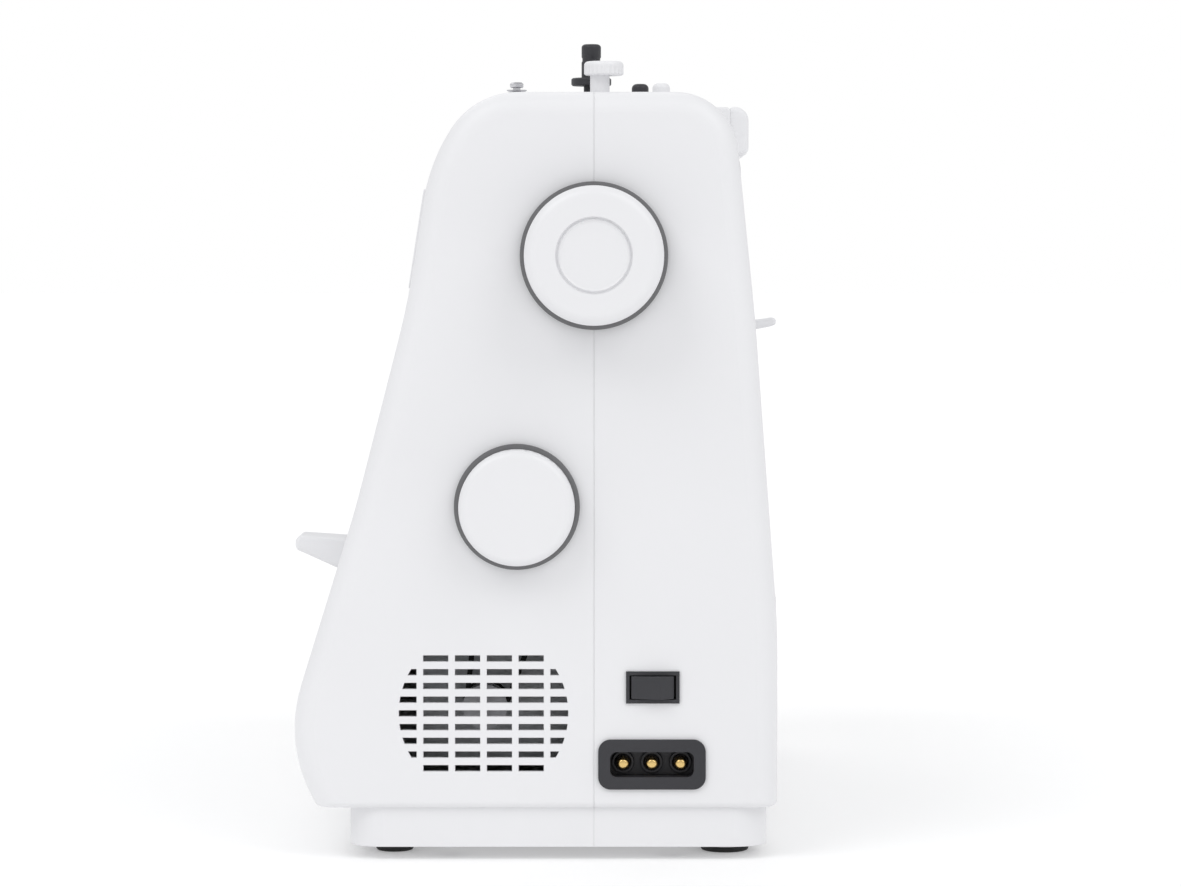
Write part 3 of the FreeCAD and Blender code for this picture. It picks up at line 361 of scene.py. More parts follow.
def oblong(width, height, radius, x=0.0, y=0.0):
    half_w, half_h = width / 2, height / 2
    return rounded([(x - half_w, y - half_h, radius), (x + half_w, y - half_h, radius),
                    (x + half_w, y + half_h, radius), (x - half_w, y + half_h, radius)])


def circle(radius, x=0.0, y=0.0, steps=64):
    return [Vector((x + radius * math.cos(2 * math.pi * step / steps),
                    y + radius * math.sin(2 * math.pi * step / steps))) for step in range(steps)]


def plate(outlines, z0, z1, edge, place):
    """A flat plate between heights z0 and z1, with soft edges, from an outer outline and any holes."""
    curve = bpy.data.curves.new("plate", "CURVE")
    curve.dimensions = "2D"
    curve.fill_mode = "BOTH"
    curve.extrude = (z1 - z0) / 2 - edge
    curve.bevel_depth = edge
    curve.bevel_resolution = 3
    curve.offset = -edge
    for outline in outlines:
        spline = curve.splines.new("POLY")
        spline.points.add(len(outline) - 1)
        for point, target in zip(spline.points, outline):
            point.co = (target[0], target[1], 0, 1)
        spline.use_cyclic_u = True
    return curve_mesh(curve, place @ Matrix.Translation((0, 0, (z0 + z1) / 2)))


WELD = 1e-4              # points of a curve's mesh that are nearer than this are one


def curve_mesh(curve, place):
    """The mesh that a curve or text makes, with its seams welded, put in its place."""
    holder = bpy.data.objects.new("holder", curve)
    mesh = bpy.data.meshes.new_from_object(holder)
    bpy.data.objects.remove(holder)
    work = bmesh.new()
    work.from_mesh(mesh)
    bmesh.ops.remove_doubles(work, verts=work.verts, dist=WELD)
    bmesh.ops.recalc_face_normals(work, faces=work.faces)
    work.to_mesh(mesh)
    work.free()
    mesh.transform(place)
    return mesh


def wire_mesh(points, radius, place, closed=False, smooth=False):
    """A round wire through points in the drawing's frame."""
    curve = bpy.data.curves.new("wire", "CURVE")
    curve.dimensions = "3D"
    curve.bevel_depth = radius
    curve.bevel_resolution = 3
    curve.use_fill_caps = True
    if smooth:
        spline = curve.splines.new("NURBS")
    else:
        spline = curve.splines.new("POLY")
    spline.points.add(len(points) - 1)
    for point, target in zip(spline.points, points):
        point.co = (*target, 1)
    spline.use_cyclic_u = closed
    if smooth:
        spline.order_u = 3
        spline.use_endpoint_u = True
    return curve_mesh(curve, place)


def digits(text, size, place):
    """A generic number, centred, as thin raised print."""
    curve = bpy.data.curves.new("digits", "FONT")
    curve.body = text
    curve.size = size
    curve.align_x = "CENTER"
    curve.align_y = "CENTER"
    curve.extrude = 0.04
    return curve_mesh(curve, place)


def screw_head(radius, height, place):
    """A domed screw head with a cross recess."""
    dome = turned([(0, 0), (0, radius)] + arc(height * 0.4, radius - height * 0.6, height * 0.6, 90, 0, 5)
                  + [(height, 0)], Matrix(), 40)
    arm = radius * 0.62
    slot_width = radius * 0.13
    cross = [(arm, slot_width), (slot_width, slot_width), (slot_width, arm), (-slot_width, arm),
             (-slot_width, slot_width), (-arm, slot_width), (-arm, -slot_width), (-slot_width, -slot_width),
             (-slot_width, -arm), (slot_width, -arm), (slot_width, -slot_width), (arm, -slot_width)]
    cutter = plate([cross], height * 0.35, height + 1, 0.0, Matrix())
    return subtracted(dome, cutter, place)


def subtracted(mesh, cutter, place):
    """mesh less cutter, by a boolean that is applied at once."""
    whole = bpy.data.objects.new("whole", mesh)
    tool = bpy.data.objects.new("tool", cutter)
    bpy.context.scene.collection.objects.link(whole)
    bpy.context.scene.collection.objects.link(tool)
    step = whole.modifiers.new("cut", "BOOLEAN")
    step.operation = "DIFFERENCE"
    step.object = tool
    step.solver = "EXACT"
    shaped = bpy.data.meshes.new_from_object(whole.evaluated_get(bpy.context.evaluated_depsgraph_get()))
    bpy.data.objects.remove(whole)
    bpy.data.objects.remove(tool)
    shaped.transform(place)
    return shaped


# ---------------------------------------------------------------- right end

def half_height(node):
    low, high = corners_mm(node)
    return (high.z - low.z) / 2


def add_handwheel():
    """The handwheel's cap: a finely fluted rim, a rounded edge and a shallow dish."""
    radius = half_height("handwheel_cap")
    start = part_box("handwheel_ring")[1][0]
    length = (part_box("handwheel_cap")[1][0] - start) / MM
    place = facing_right(Vector((start, SEAM_Y, WHEEL_Z)))
    dish, dish_depth, edge = 13.2, 1.15, 4.2
    side = [(z, radius) for z in (0.4, 2.2, 2.5, 5, 8, 11, 14.2, 14.5)]
    profile = [(0, 0), (0, radius - 0.4)] + side + arc(length - edge, radius - edge, edge, 90, 0, 10)
    profile += [(length, dish + 1.2)] + arc(length - 0.7, dish + 0.7, 0.7, 60, 180, 5)[1:]
    profile += [(length - dish_depth + 0.5, dish - 0.1), (length - dish_depth + 0.12, dish - 0.5),
                (length - dish_depth, dish - 1.2), (length - dish_depth, 0)]
    mesh = turned(profile, place, 240, 48, 0.35, (2.4, 14.3))
    finish_piece("handwheel_cap_moulding", mesh, "main_drive", "knob_white", replaced=("handwheel_cap",))


DIAL_GAP = 0.3           # between the selector dial and its bezel
SHAFT_R = 3.9            # the selector's shaft and gear, inside the casing
GEAR_R = 8.9


def add_selector():
    """The selector dial, with its shaft and gear inside the casing."""
    radius = half_height("selector_dial")
    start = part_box("selector_bezel")[1][0] + DIAL_GAP * MM
    middle = centre("selector_dial")
    middle.x = start
    length = (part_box("selector_dial")[1][0] - start) / MM
    edge = 3.0
    side = [(z, radius) for z in (0.3, 1.2, 1.4, 3, 5, 6.2, 6.4)]
    inner = (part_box("selector_dial")[0][0] - start) / MM
    gear, gear_end = inner + 6, inner + 12
    profile = [(inner, 0), (inner, SHAFT_R), (gear, SHAFT_R), (gear, GEAR_R), (gear_end, GEAR_R),
               (gear_end, SHAFT_R), (0, SHAFT_R), (0, radius - 0.3)]
    profile += side + arc(length - edge, radius - edge, edge, 90, 0, 10) + [(length, 0)]
    mesh = turned(profile, facing_right(middle), 200, 40, 0.3, (1.3, 6.3))
    finish_piece("selector_dial_moulding", mesh, "selector", "knob_white", replaced=("selector_dial",))


def add_rocker():
    """The mains rocker with its two slanted faces."""
    pivot = pivots["switch_rock"]["pos_m"]
    outline = rounded([(-2, -7.6, 0.4), (3.2, -8.2, 0.5), (6.4, 3, 0.9), (3, 8, 0.5), (-2, 7.6, 0.4)])
    half = half_height("switch_rocker") - 0.65
    place = facing_up(Vector((pivot[0], pivot[1], centre("switch_rocker").z)))
    body = plate([outline], -half, half, 0.25, place)
    finish_piece("switch_rocker_moulding", body, "rocker", "dark_plastic", replaced=("switch_rocker",))


def add_inlet():
    """Round-ended brass pins, each in its own sleeve of the socket."""
    middle = centre("inlet_pins")
    low, high = corners_mm("inlet_pins")
    length = high.x - low.x
    radius = half_height("inlet_pins")
    spread = (high.y - low.y) / 2 - radius
    pins = []
    sleeves = []
    for side in (-1, 0, 1):
        place = facing_right(Vector((low.x * MM, middle.y + side * spread * MM, middle.z)))
        tip = arc(length - radius * 0.7, radius * 0.3, radius * 0.7, 90, 0, 6)
        profile = [(0, 0), (0, radius)] + tip[:-1] + [(length, radius * 0.3), (length, 0)]
        pins.append(turned(profile, place, 40))
        sleeves.append(turned([(0.05, radius + 0.1), (0.05, 4.3), (1.6, 4.3), (2.0, 4.0),
                               (2.0, radius + 1.0), (1.6, radius + 0.7), (0.05, radius + 0.1)], place, 40))
    finish_piece("inlet_pins_rounded", joined(*pins), "chassis", "brass", replaced=("inlet_pins",))
    finish_piece("inlet_pin_sleeves", joined(*sleeves), "chassis", "dark_plastic")


FRONT_FOOT_R = 7.5
REAR_FOOT_R = 9.5


def add_feet():
    """Rubber feet, each held by a plated ring."""
    low, high = corners_mm("feet")
    height = high.z
    rubbers, rings = [], []
    for x in (low.x + REAR_FOOT_R, high.x - REAR_FOOT_R):
        for y, radius in ((low.y + FRONT_FOOT_R, FRONT_FOOT_R), (high.y - REAR_FOOT_R, REAR_FOOT_R)):
            place = facing_up(Vector((x, y, 0)) * MM)
            rubbers.append(turned([(0, 0), (0, radius - 1.4), (0.25, radius - 0.7), (0.8, radius - 0.3),
                                   (1.8, radius - 0.3), (2.0, radius - 0.8), (height - 0.9, radius - 0.8),
                                   (height - 0.9, radius), (height - 0.05, radius), (height - 0.05, 0)],
                                  place, 56))
            rings.append(turned([(2.1, radius - 0.8), (2.1, radius - 0.35), (2.3, radius - 0.2),
                                 (3.0, radius - 0.2), (3.2, radius - 0.35), (3.2, radius - 0.8),
                                 (2.1, radius - 0.8)], place, 56))
    finish_piece("foot_rubbers", joined(*rubbers), "chassis", "rubber_black", replaced=("feet",))
    finish_piece("foot_rings", joined(*rings), "chassis", "plated")


# ---------------------------------------------------------------- front of the arm

FASCIA_LEFT = -134.0
FASCIA_RIGHT = 172.0
FASCIA_LOW = -20.0
FASCIA_HIGH = 18.0
FASCIA_THICK = 0.65
FASCIA_SINK = 0.3        # how far its back lies under the casing's skin
DIAL_THICK = 5.8
DIAL_RADIUS = 12.5
DIAL_SHAFT = (-15.9, 2.9)    # the shaft's inner end and its radius
DIGIT_RING = 8.15        # radius of the numbers round a dial
WINDOW_HIGH = 25.6       # height of the opening for the stitch window


def dial_x(body):
    return pivots[DIAL_JOINTS[body]]["pos_m"][0] / MM


def window_span():
    low, high = corners_mm("pattern_window")
    return low.x, high.x


def add_fascia():
    """The front panel, cut out for the dials and the stitch window."""
    left, right = window_span()
    outer = rounded([(FASCIA_LEFT, FASCIA_LOW, 5), (FASCIA_RIGHT, FASCIA_LOW, 3),
                     (FASCIA_RIGHT, FASCIA_HIGH, 3), (FASCIA_LEFT, FASCIA_HIGH, 5)])
    holes = [circle(DIAL_RADIUS + 0.5, dial_x(body)) for body in DIAL_JOINTS]
    holes.append(oblong(right - left + 0.6, WINDOW_HIGH, 3.2, (left + right) / 2))
    mesh = plate([outer] + holes, -FASCIA_SINK, FASCIA_THICK, 0.25, on_front(0))
    finish_piece("front_fascia", mesh, "chassis", "casing_white")


def add_dial(body, node, labels, span):
    """A fluted dial with numbers round its face and a line for the set value."""
    place = on_front(dial_x(body))
    edge = 1.2
    side = [(z, DIAL_RADIUS) for z in (0.6, 0.9, 1.0, 2.4, 3.8, 3.9)]
    inner, shaft = DIAL_SHAFT
    profile = [(inner, 0), (inner, shaft), (0.35, shaft), (0.35, DIAL_RADIUS - 0.25)] + side
    profile += arc(DIAL_THICK - edge, DIAL_RADIUS - edge, edge, 90, 20, 6)
    profile += [(DIAL_THICK - 0.15, 9.9), (DIAL_THICK - 0.15, 6.4), (DIAL_THICK, 6.1), (DIAL_THICK, 0)]
    knob = turned(profile, place, 216, 36, 0.5, (0.95, 3.85))
    finish_piece(f"{node}_moulding", knob, body, "knob_white", replaced=(node,))
    marks = []
    for index, label in enumerate(labels):
        angle = -span * index / max(1, len(labels) - 1)
        turn = place @ Matrix.Rotation(math.radians(angle), 4, "Z")
        marks.append(digits(label, 3.5, turn @ Matrix.Translation((0, DIGIT_RING, DIAL_THICK - 0.1))))
    finish_piece(f"{node}_numbers", joined(*marks), body, "dark_plastic", MATERIALS["ink"])
    pointer = plate([[(-1.3, 15.6), (0, 13.6), (1.3, 15.6)]], FASCIA_THICK, FASCIA_THICK + 0.1, 0.0, place)
    finish_piece(f"{node}_pointer", pointer, "chassis", "dark_plastic", MATERIALS["ink"])


STITCH_HALF = 7.5        # half the length of a stitch picture


def stitch_paths():
    """Small pictures of stitches: each is a list of (across, up) points about its own middle."""
    length = 2 * STITCH_HALF
    rows = [-STITCH_HALF + step * length / 12 for step in range(13)]
    zigzag = [(1.5 * (-1) ** step, up) for step, up in enumerate(rows)]
    three_step = [((0, 1, 2, 3, 2, 1)[step % 6] - 1.5, up) for step, up in enumerate(rows)]
    scallop = [(1.8 * math.sin(math.pi * (step % 12) / 12) - 0.9, -STITCH_HALF + step * length / 48)
               for step in range(49)]
    blind = []
    for step in range(4):
        start = -STITCH_HALF + step * length / 4
        blind += [(-1.2, start), (-1.2, start + 2.4), (1.6, start + 3.0)]
    box_stitch = [(-1.7, -7), (-1.7, 7), (1.7, 7), (1.7, -7), (-1.7, -7)]
    straight = [(0, -STITCH_HALF), (0, STITCH_HALF)]
    return [straight, zigzag, three_step, scallop, blind, box_stitch]


def add_window():
    """The printed stitch window: a frame, stitch pictures, and numbers under them."""
    left, right = window_span()
    middle = (left + right) / 2
    rim = plate([oblong(right - left - 0.6, 24.4, 3, middle), oblong(right - left - 3, 22, 2.4, middle)],
                0.42, 0.75, 0.1, on_front(0))
    finish_piece("stitch_window_rim", rim, "chassis", "control_grey")
    pictures, numbers = [], []
    paths = stitch_paths()
    margin = 8.0
    pitch = (right - left - 2 * margin) / (len(paths) - 1)
    for index, path in enumerate(paths):
        x = left + margin + index * pitch
        pictures.append(wire_mesh([(across, up, 0) for across, up in path], 0.22, on_front(x, 1.6, 0.5)))
        numbers.append(digits(str(index + 1), 2.2, on_front(x, -8.9, 0.46)))
    finish_piece("stitch_pictures", joined(*pictures), "chassis", "dark_plastic", MATERIALS["ink_blue"])
    finish_piece("stitch_numbers", joined(*numbers), "chassis", "dark_plastic", MATERIALS["ink"])


REVERSE_HALF = 15.0      # half the width of the reverse lever


def add_reverse_lever():
    """The spring-back reverse lever: a soft-edged paddle on its pivot pin."""
    pivot = pivots["reverse_press"]["pos_m"]
    y, z = pivot_yz("reverse_press")
    corners = [(y + 4, z - 4, 2.6), (-97, 106.4, 5), (-115.9, 114.9, 2.2), (-115.9, 120.0, 2.2),
               (-98, 118.8, 7), (y + 4, z + 5, 2.6)]
    outline = rounded([(corner[0] - y, corner[1] - z, corner[2]) for corner in corners])
    place = facing_right(Vector((centre("reverse_lever").x, pivot[1], pivot[2])))
    paddle = plate([outline], -REVERSE_HALF, REVERSE_HALF, 1.6, place)
    pin_end = REVERSE_HALF + 4
    pin = turned([(-pin_end, 0), (-pin_end, 2.4), (pin_end, 2.4), (pin_end, 0)], place, 32)
    finish_piece("reverse_lever_moulding", joined(paddle, pin), "reverse", "knob_white",
                 replaced=("reverse_lever",))


for add in (add_handwheel, add_selector, add_rocker, add_inlet, add_feet, add_fascia, add_window,
            add_reverse_lever):
    add()
add_dial("length_dial", "stitch_length_dial", ("0", "1", "2", "3", "4"), 300)
add_dial("width_dial", "stitch_width_dial", ("0", "1", "2", "3", "4", "5"), 300)
add_dial("tension", "tension_dial", tuple(str(number) for number in range(10)), 324)


# ---------------------------------------------------------------- handle, lifter and top

HANDLE_ARM = 12.0        # width of each arm
HANDLE_HALF = 62.0       # half the handle's length
GRIP = (55.5, 63.9, 269.7, 290.3)    # front, rear, low and high sides of the folded grip


def add_handle():
    """The folding handle: two arms and a grip with soft edges."""
    middle = centre("carrying_handle").x
    pivot = pivots["handle_lift"]["pos_m"]
    y, z = pivot_yz("handle_lift")
    front, rear, low, high = GRIP
    arm_corners = [(y - 5.4, z - 5.4, 5.2), (front + 1, z - 5.4, 0), (front + 1, 284.5, 0),
                   (front + 1, high - 0.1, 2.0), (34, high - 0.2, 0), (18, z + 5.5, 0),
                   (y - 5.4, z + 5.4, 5.2)]
    arm_outline = rounded([(corner[0] - y, corner[1] - z, corner[2]) for corner in arm_corners])
    grip_corners = [(front, low, 2.4), (rear, low, 3.8), (rear, high, 5.8), (front, high, 2.4)]
    grip_outline = rounded([(corner[0] - y, corner[1] - z, corner[2]) for corner in grip_corners], 10)
    meshes = [plate([grip_outline], 0.1 - HANDLE_HALF, HANDLE_HALF - 0.1, 2.2,
                    facing_right(Vector((middle, pivot[1], pivot[2]))))]
    for side in (-1, 1):
        arm_x = middle + side * (HANDLE_HALF - HANDLE_ARM / 2) * MM
        place = facing_right(Vector((arm_x, pivot[1], pivot[2])))
        meshes.append(plate([arm_outline], 0.05 - HANDLE_ARM / 2, HANDLE_ARM / 2 - 0.05, 1.0, place))
        pin_from, pin_to = sorted((side * (HANDLE_ARM / 2 - 1), side * (HANDLE_ARM / 2 + 2.8)))
        meshes.append(turned([(pin_from, 0), (pin_from, 2.95), (pin_to, 2.95), (pin_to, 0)], place, 32))
    finish_piece("carrying_handle_moulding", joined(*meshes), "handle", "casing_white",
                 replaced=("carrying_handle",))


SPOOL_PIN_R = 3.45


def add_spool_pins():
    """The two spool pins with their soft tips, each in a collar on the casing."""
    for node, body, slot in (("spool_pin_left", "left_spool_pin", "dark_plastic"),
                             ("spool_pin_right", "right_spool_pin", "knob_white")):
        low, high = corners_mm(node)
        length = high.z - low.z
        middle = centre(node)
        place = facing_up(Vector((middle.x, middle.y, low.z * MM)))
        radius = SPOOL_PIN_R
        profile = [(0, 0), (0, radius)] + [(length * part / 4, radius) for part in (1, 2, 3)]
        profile += arc(length - 2, radius - 2, 2, 90, 0, 8) + [(length, 0)]
        finish_piece(f"{node}_moulding", turned(profile, place, 48), body, slot, replaced=(node,))
        beside = radius + 1.75
        on_skin = skin("rear_cover", middle.x / MM + beside, (middle.y - SEAM_Y) / MM, ABOVE, (0, 0, -1))
        collar = turned([(0.02, radius + 0.2), (0.02, radius + 2.6), (0.35, radius + 2.5),
                         (0.6, radius + 1.9), (0.6, radius + 0.4), (0.02, radius + 0.2)],
                        on_skin @ Matrix.Translation((-beside, 0, 0)), 48)
        finish_piece(f"{node}_collar", collar, "chassis", "casing_white")


REAR_SCREWS = ((-120.0, 262.0), (20.0, 262.0), (150.0, 96.0), (150.0, 262.0))
PLATE_SCREW = (8.0, 28.0)    # a needle-plate screw: in from the plate's side, and back from the seam


def add_screws():
    """Cover screws in the back, each in a shallow cup, and the two of the needle plate."""
    heads, cups = [], []
    for x, z in REAR_SCREWS:
        place = skin("rear_cover", x, 150, z, (0, -1, 0))
        cups.append(turned([(0.02, 3.4), (0.02, 5.2), (0.3, 5.0), (0.45, 4.6), (0.45, 3.9), (0.02, 3.4)],
                           place, 48))
        heads.append(screw_head(3.3, 0.9, place))
    finish_piece("rear_screw_cups", joined(*cups), "chassis", "casing_white")
    finish_piece("rear_screw_heads", joined(*heads), "chassis", "plated")
    low, high = corners_mm("needle_plate")
    inset, y = PLATE_SCREW
    plate_screws = [screw_head(2.8, 0.5, facing_up(at(x, y, high.z)))
                    for x in (low.x + inset, high.x - inset)]
    finish_piece("needle_plate_screws", joined(*plate_screws), "chassis", "steel")


# ---------------------------------------------------------------- bed and table

SCALE_START = (-150.0, -54.0)    # the table scale's zero, in x and y
SCALE_CM = 20


def mark_line(length, place):
    """A fine printed line, along the drawing's Y."""
    return plate([oblong(0.35, length, 0.15)], 0.0, 0.06, 0.0, place)


def add_bed_marks():
    """Seam guide lines on the needle plate and a centimetre scale on the table."""
    top = corners_mm("needle_plate")[1].z
    needle_x = centre("needle").x / MM
    lines = [mark_line(20, facing_up(at(needle_x + offset, 24, top))) for offset in (10, 15, 20, 25)]
    numbers = [digits(str(offset), 2.4, facing_up(at(needle_x + offset, 11.5, top))) for offset in (10, 20)]
    finish_piece("seam_guide_lines", joined(*lines, *numbers), "chassis", "dark_plastic", MATERIALS["ink"])
    table_top = corners_mm("extension_table")[1].z
    ticks = []
    for step in range(SCALE_CM + 1):
        x = SCALE_START[0] + step * 10
        length = 5.0 if step % 5 == 0 else 3.0
        ticks.append(mark_line(length, facing_up(at(x, SCALE_START[1] - length / 2, table_top))))
        if step % 5 == 0 and step:
            ticks.append(digits(str(step), 3.2, facing_up(at(x, SCALE_START[1] - 8, table_top))))
    finish_piece("table_scale", joined(*ticks), "table", "dark_plastic", MATERIALS["ink"])


CUTTER_RAY = (-239, 150, 206, Vector((0.4, -0.9, 0)).normalized())    # meets the corner it sits on


def add_thread_cutter():
    """A small moulded cutter on the rounded rear corner of the face cover, with its blade in a slot."""
    place = skin("face_cover", *CUTTER_RAY)
    slot_x, slot_y = 1.2, -4.0
    body = plate([oblong(8, 18, 1.8)], -1.0, 2.2, 0.6, place)
    notch = plate([oblong(1.2, 9, 0.5, slot_x, slot_y)], 1.0, 4.0, 0.0, place)
    finish_piece("thread_cutter", subtracted(body, notch, Matrix()), "face", "casing_white")
    blade = plate([oblong(0.5, 7, 0.2, slot_x, slot_y)], 0.9, 1.5, 0.0, place)
    finish_piece("thread_cutter_blade", blade, "face", "steel")


def add_presser_spring():
    """The coil that presses the foot down, round the presser bar."""
    low, high = corners_mm("presser_spring")
    middle = centre("presser_spring")
    height = high.z - low.z
    turns, steps, mean_radius, wire_radius = 11, 20, 4.1, 0.45
    points = []
    for step in range(turns * steps + 1):
        angle = 2 * math.pi * step / steps
        z = wire_radius + (height - 2 * wire_radius) * step / (turns * steps)
        points.append((mean_radius * math.cos(angle), mean_radius * math.sin(angle), z))
    place = facing_up(Vector((middle.x, middle.y, low.z * MM)))
    finish_piece("presser_spring_coil", wire_mesh(points, wire_radius, place), "chassis", "steel",
                 replaced=("presser_spring",))


for add in (add_handle, add_spool_pins, add_screws, add_bed_marks, add_thread_cutter, add_presser_spring):
    add()


# ---------------------------------------------------------------- seam, needle end, winder and guides

LIP_SINK = 0.06          # how far the seam's tongue lies under the skin
LIP_HALF = 0.225
BESIDE_SEAM = -1.2       # where the skin is felt for, just in front of the seam
SKIN_REACH = 60.0        # how far a ray may go before it has missed the skin
SQUARE_ON = 0.7          # how squarely a ray has to meet the skin


def seam_runs():
    """Where the casing's skin runs unbroken beside the seam: lists of (point, inward) in X and Z."""
    cover = frame["nodes"]["front_cover"]
    end_skin = END_X / MM
    samples = [((end_skin + 30, 1 + step), (-1, 0)) for step in range(289)]
    samples += [((end_skin - step, ABOVE), (0, -1)) for step in range(330)]
    runs = [[]]
    for (start_x, start_z), direction in samples:
        start = at(start_x, BESIDE_SEAM, start_z)
        hit, place, normal, _ = cover.ray_cast(start, Vector((direction[0], 0, direction[1])))
        inward = -Vector((normal.x, normal.z)) if hit else Vector((0, 0))
        near = hit and (place - start).length < SKIN_REACH * MM
        if near and inward.dot(Vector(direction)) > SQUARE_ON:
            runs[-1].append((Vector((place.x, place.z)) / MM, inward.normalized()))
        elif runs[-1]:
            runs.append([])
    return [run for run in runs if len(run) > 3]


def add_seam_lip():
    """The tongue that closes the gap between the two covers, just under their skin."""
    place = axes(at(0, 0, 0), (1, 0, 0), (0, 0, 1), (0, -1, 0))
    strips = []
    for run in seam_runs():
        near = [point + inward * LIP_SINK for point, inward in run]
        far = [point + inward * 2 * LIP_SINK for point, inward in reversed(run)]
        strips.append(plate([near + far], -LIP_HALF, LIP_HALF, 0.0, place))
    finish_piece("seam_lip", joined(*strips), "chassis", "casing_white", MATERIALS["knob_white"])


def knurled_screw(length, radius, place):
    """A small thumb screw: knurled rim, soft end, and a slot across it."""
    profile = [(0, 0), (0, radius - 0.3), (0.3, radius)]
    profile += [(length * part / 8, radius) for part in range(1, 8)]
    profile += [(length - 0.4, radius), (length, radius - 0.5), (length, 0)]
    head = turned(profile, Matrix(), 96, 24, 0.3, (0.4, length - 0.6))
    slot_cut = plate([oblong(radius * 3, 0.9, 0.1)], length - 0.9, length + 1, 0.0, Matrix())
    return subtracted(head, slot_cut, place)


FOOT_SCREW = (13.0, 98.0)    # the foot holder's screw, in y and z


def add_needle_end():
    """The needle clamp with its thread hook, and the two thumb screws."""
    low, high = corners_mm("needle_clamp")
    needle = centre("needle")
    needle_x = needle.x / MM
    height = high.z - low.z
    knob_z = (low.z + high.z) / 2 * MM
    radius = (high.y - low.y) / 2
    collar = turned([(0, 1.1), (0, radius - 0.7), (0.7, radius), (height - 0.7, radius),
                     (height, radius - 0.7), (height, 2.0), (0, 1.1)],
                    facing_up(Vector((needle.x, needle.y, low.z * MM))), 64)
    knob_length = 5.5
    neck_start = needle_x + radius - 0.6
    neck_length = high.x - neck_start - knob_length + 0.5
    neck = turned([(0, 0), (0, 1.5), (neck_length, 1.5), (neck_length, 0)],
                  facing_right(Vector((neck_start * MM, needle.y, knob_z))), 32)
    knob_x = (high.x - knob_length) * MM
    knob = knurled_screw(knob_length, 4.0, facing_right(Vector((knob_x, needle.y, knob_z))))
    hook = wire_mesh([(-3, -3.6, 0.6), (-3, -6.2, 0.4), (0.5, -6.6, 0.2), (1.6, -5.2, 0.2)], 0.4,
                     facing_up(Vector((needle.x, needle.y, (low.z + 1.5) * MM))), smooth=True)
    finish_piece("needle_clamp_turned", joined(collar, neck, knob, hook), "needle_group", "plated",
                 replaced=("needle_clamp",))
    screw_x = corners_mm("foot_holder")[0].x + 7.2
    facing_left = axes(at(screw_x, *FOOT_SCREW), (0, -1, 0), (0, 0, 1), (-1, 0, 0))
    finish_piece("foot_holder_screw", knurled_screw(7.4, 3.9, facing_left), "presser_group", "plated")


def curled_toe(mesh, start, height, reach):
    """Lift a sole's toe in a smooth curve, from y = start forward."""
    for vertex in mesh.vertices:
        ahead = max(0.0, start - vertex.co.y)
        vertex.co.z += height * (ahead / reach) ** 2
    return mesh


FOOT_PIN = (9.0, 81.5)       # the foot's cross pin, in y and z
FOOT_GAP = 1.4               # half the gap between the toes
FOOT_WINDOW = 3.4            # half the window round the needle
TOE_CURL = (4.5, 1.9)        # the curl's reach and its height


def add_presser_foot():
    """The snap-on foot: a split sole with a curled toe, two ears and a cross pin."""
    low, high = corners_mm("presser_foot")
    needle = centre("needle")
    toe, heel = (corner.y - SEAM_Y / MM for corner in (low, high))
    half = (high.x - low.x) / 2
    gap, window = FOOT_GAP, FOOT_WINDOW
    steps = [toe + 0.9 + 0.6 * index for index in range(7)]
    right = [(window, window), (window, -window), (gap, -window)] + [(gap, y) for y in reversed(steps)]
    right += [(1.9, toe), (half - 0.9, toe)] + [(half, y) for y in steps]
    right += [(half, heel - 1.5), (half - 1.5, heel)]
    left = [(-x, y) for x, y in reversed(right)]
    reach, curl = TOE_CURL
    sole = curled_toe(plate([right + left], 0, 1.6, 0.25, Matrix()), toe + reach, curl, reach)
    sole.transform(facing_up(Vector((needle.x, SEAM_Y, low.z * MM))))
    side_view = facing_right(Vector((needle.x, SEAM_Y, 0)))
    ear = rounded([(heel - 4.8, low.z + 1.0, 0.2), (heel - 0.2, low.z + 1.0, 0.2),
                   (heel - 0.2, high.z, 1.6), (heel - 3.4, high.z, 1.4)])
    ears = [plate([ear], x, x + 1.2, 0.2, side_view) for x in (-7.2, 6.0)]
    pin = turned([(-6.6, 0), (-6.6, 0.98), (6.6, 0.98), (6.6, 0)],
                 side_view @ Matrix.Translation((*FOOT_PIN, 0)), 24)
    finish_piece("presser_foot_formed", joined(sole, *ears, pin), "foot", "plated",
                 replaced=("presser_foot",))


def add_lifter():
    """The presser-foot lifter: a soft-edged lever with finger ribs under its tip."""
    place = facing_right(Vector((centre("presser_lifter").x, SEAM_Y, 0)))
    y, z = pivot_yz("lifter_swing")
    outline = rounded([(y, z - 2, 0), (58, 192.8, 8), (80, 196.6, 3), (83.9, 197.7, 1.7), (83.9, 201.3, 1.7),
                       (78, 200.4, 3), (56, 197.5, 8), (y, z + 3, 0)])
    arm = plate([outline], -6.4, 6.4, 1.3, place)
    hub = turned([(-7, 2.3), (-7, 4.5), (-6.5, 5), (6.5, 5), (7, 4.5), (7, 2.3), (-7, 2.3)],
                 place @ Matrix.Translation((y, z, 0)), 48)
    ribs = [plate([oblong(0.7, 1.0, 0.3, 69.5 + 2.4 * index, 195.2 + 0.42 * index)], -4.4, 4.4, 0.0, place)
            for index in range(5)]
    finish_piece("presser_lifter_moulding", joined(arm, hub, *ribs), "lifter", "knob_white",
                 replaced=("presser_lifter",))


SPINDLE_R = 2.9
SPINDLE_TIP_R = 3.75
SPINDLE_TIP = 16.0       # length of the tip, from the seat up
COLLAR_Z = (264.4, 273.2)


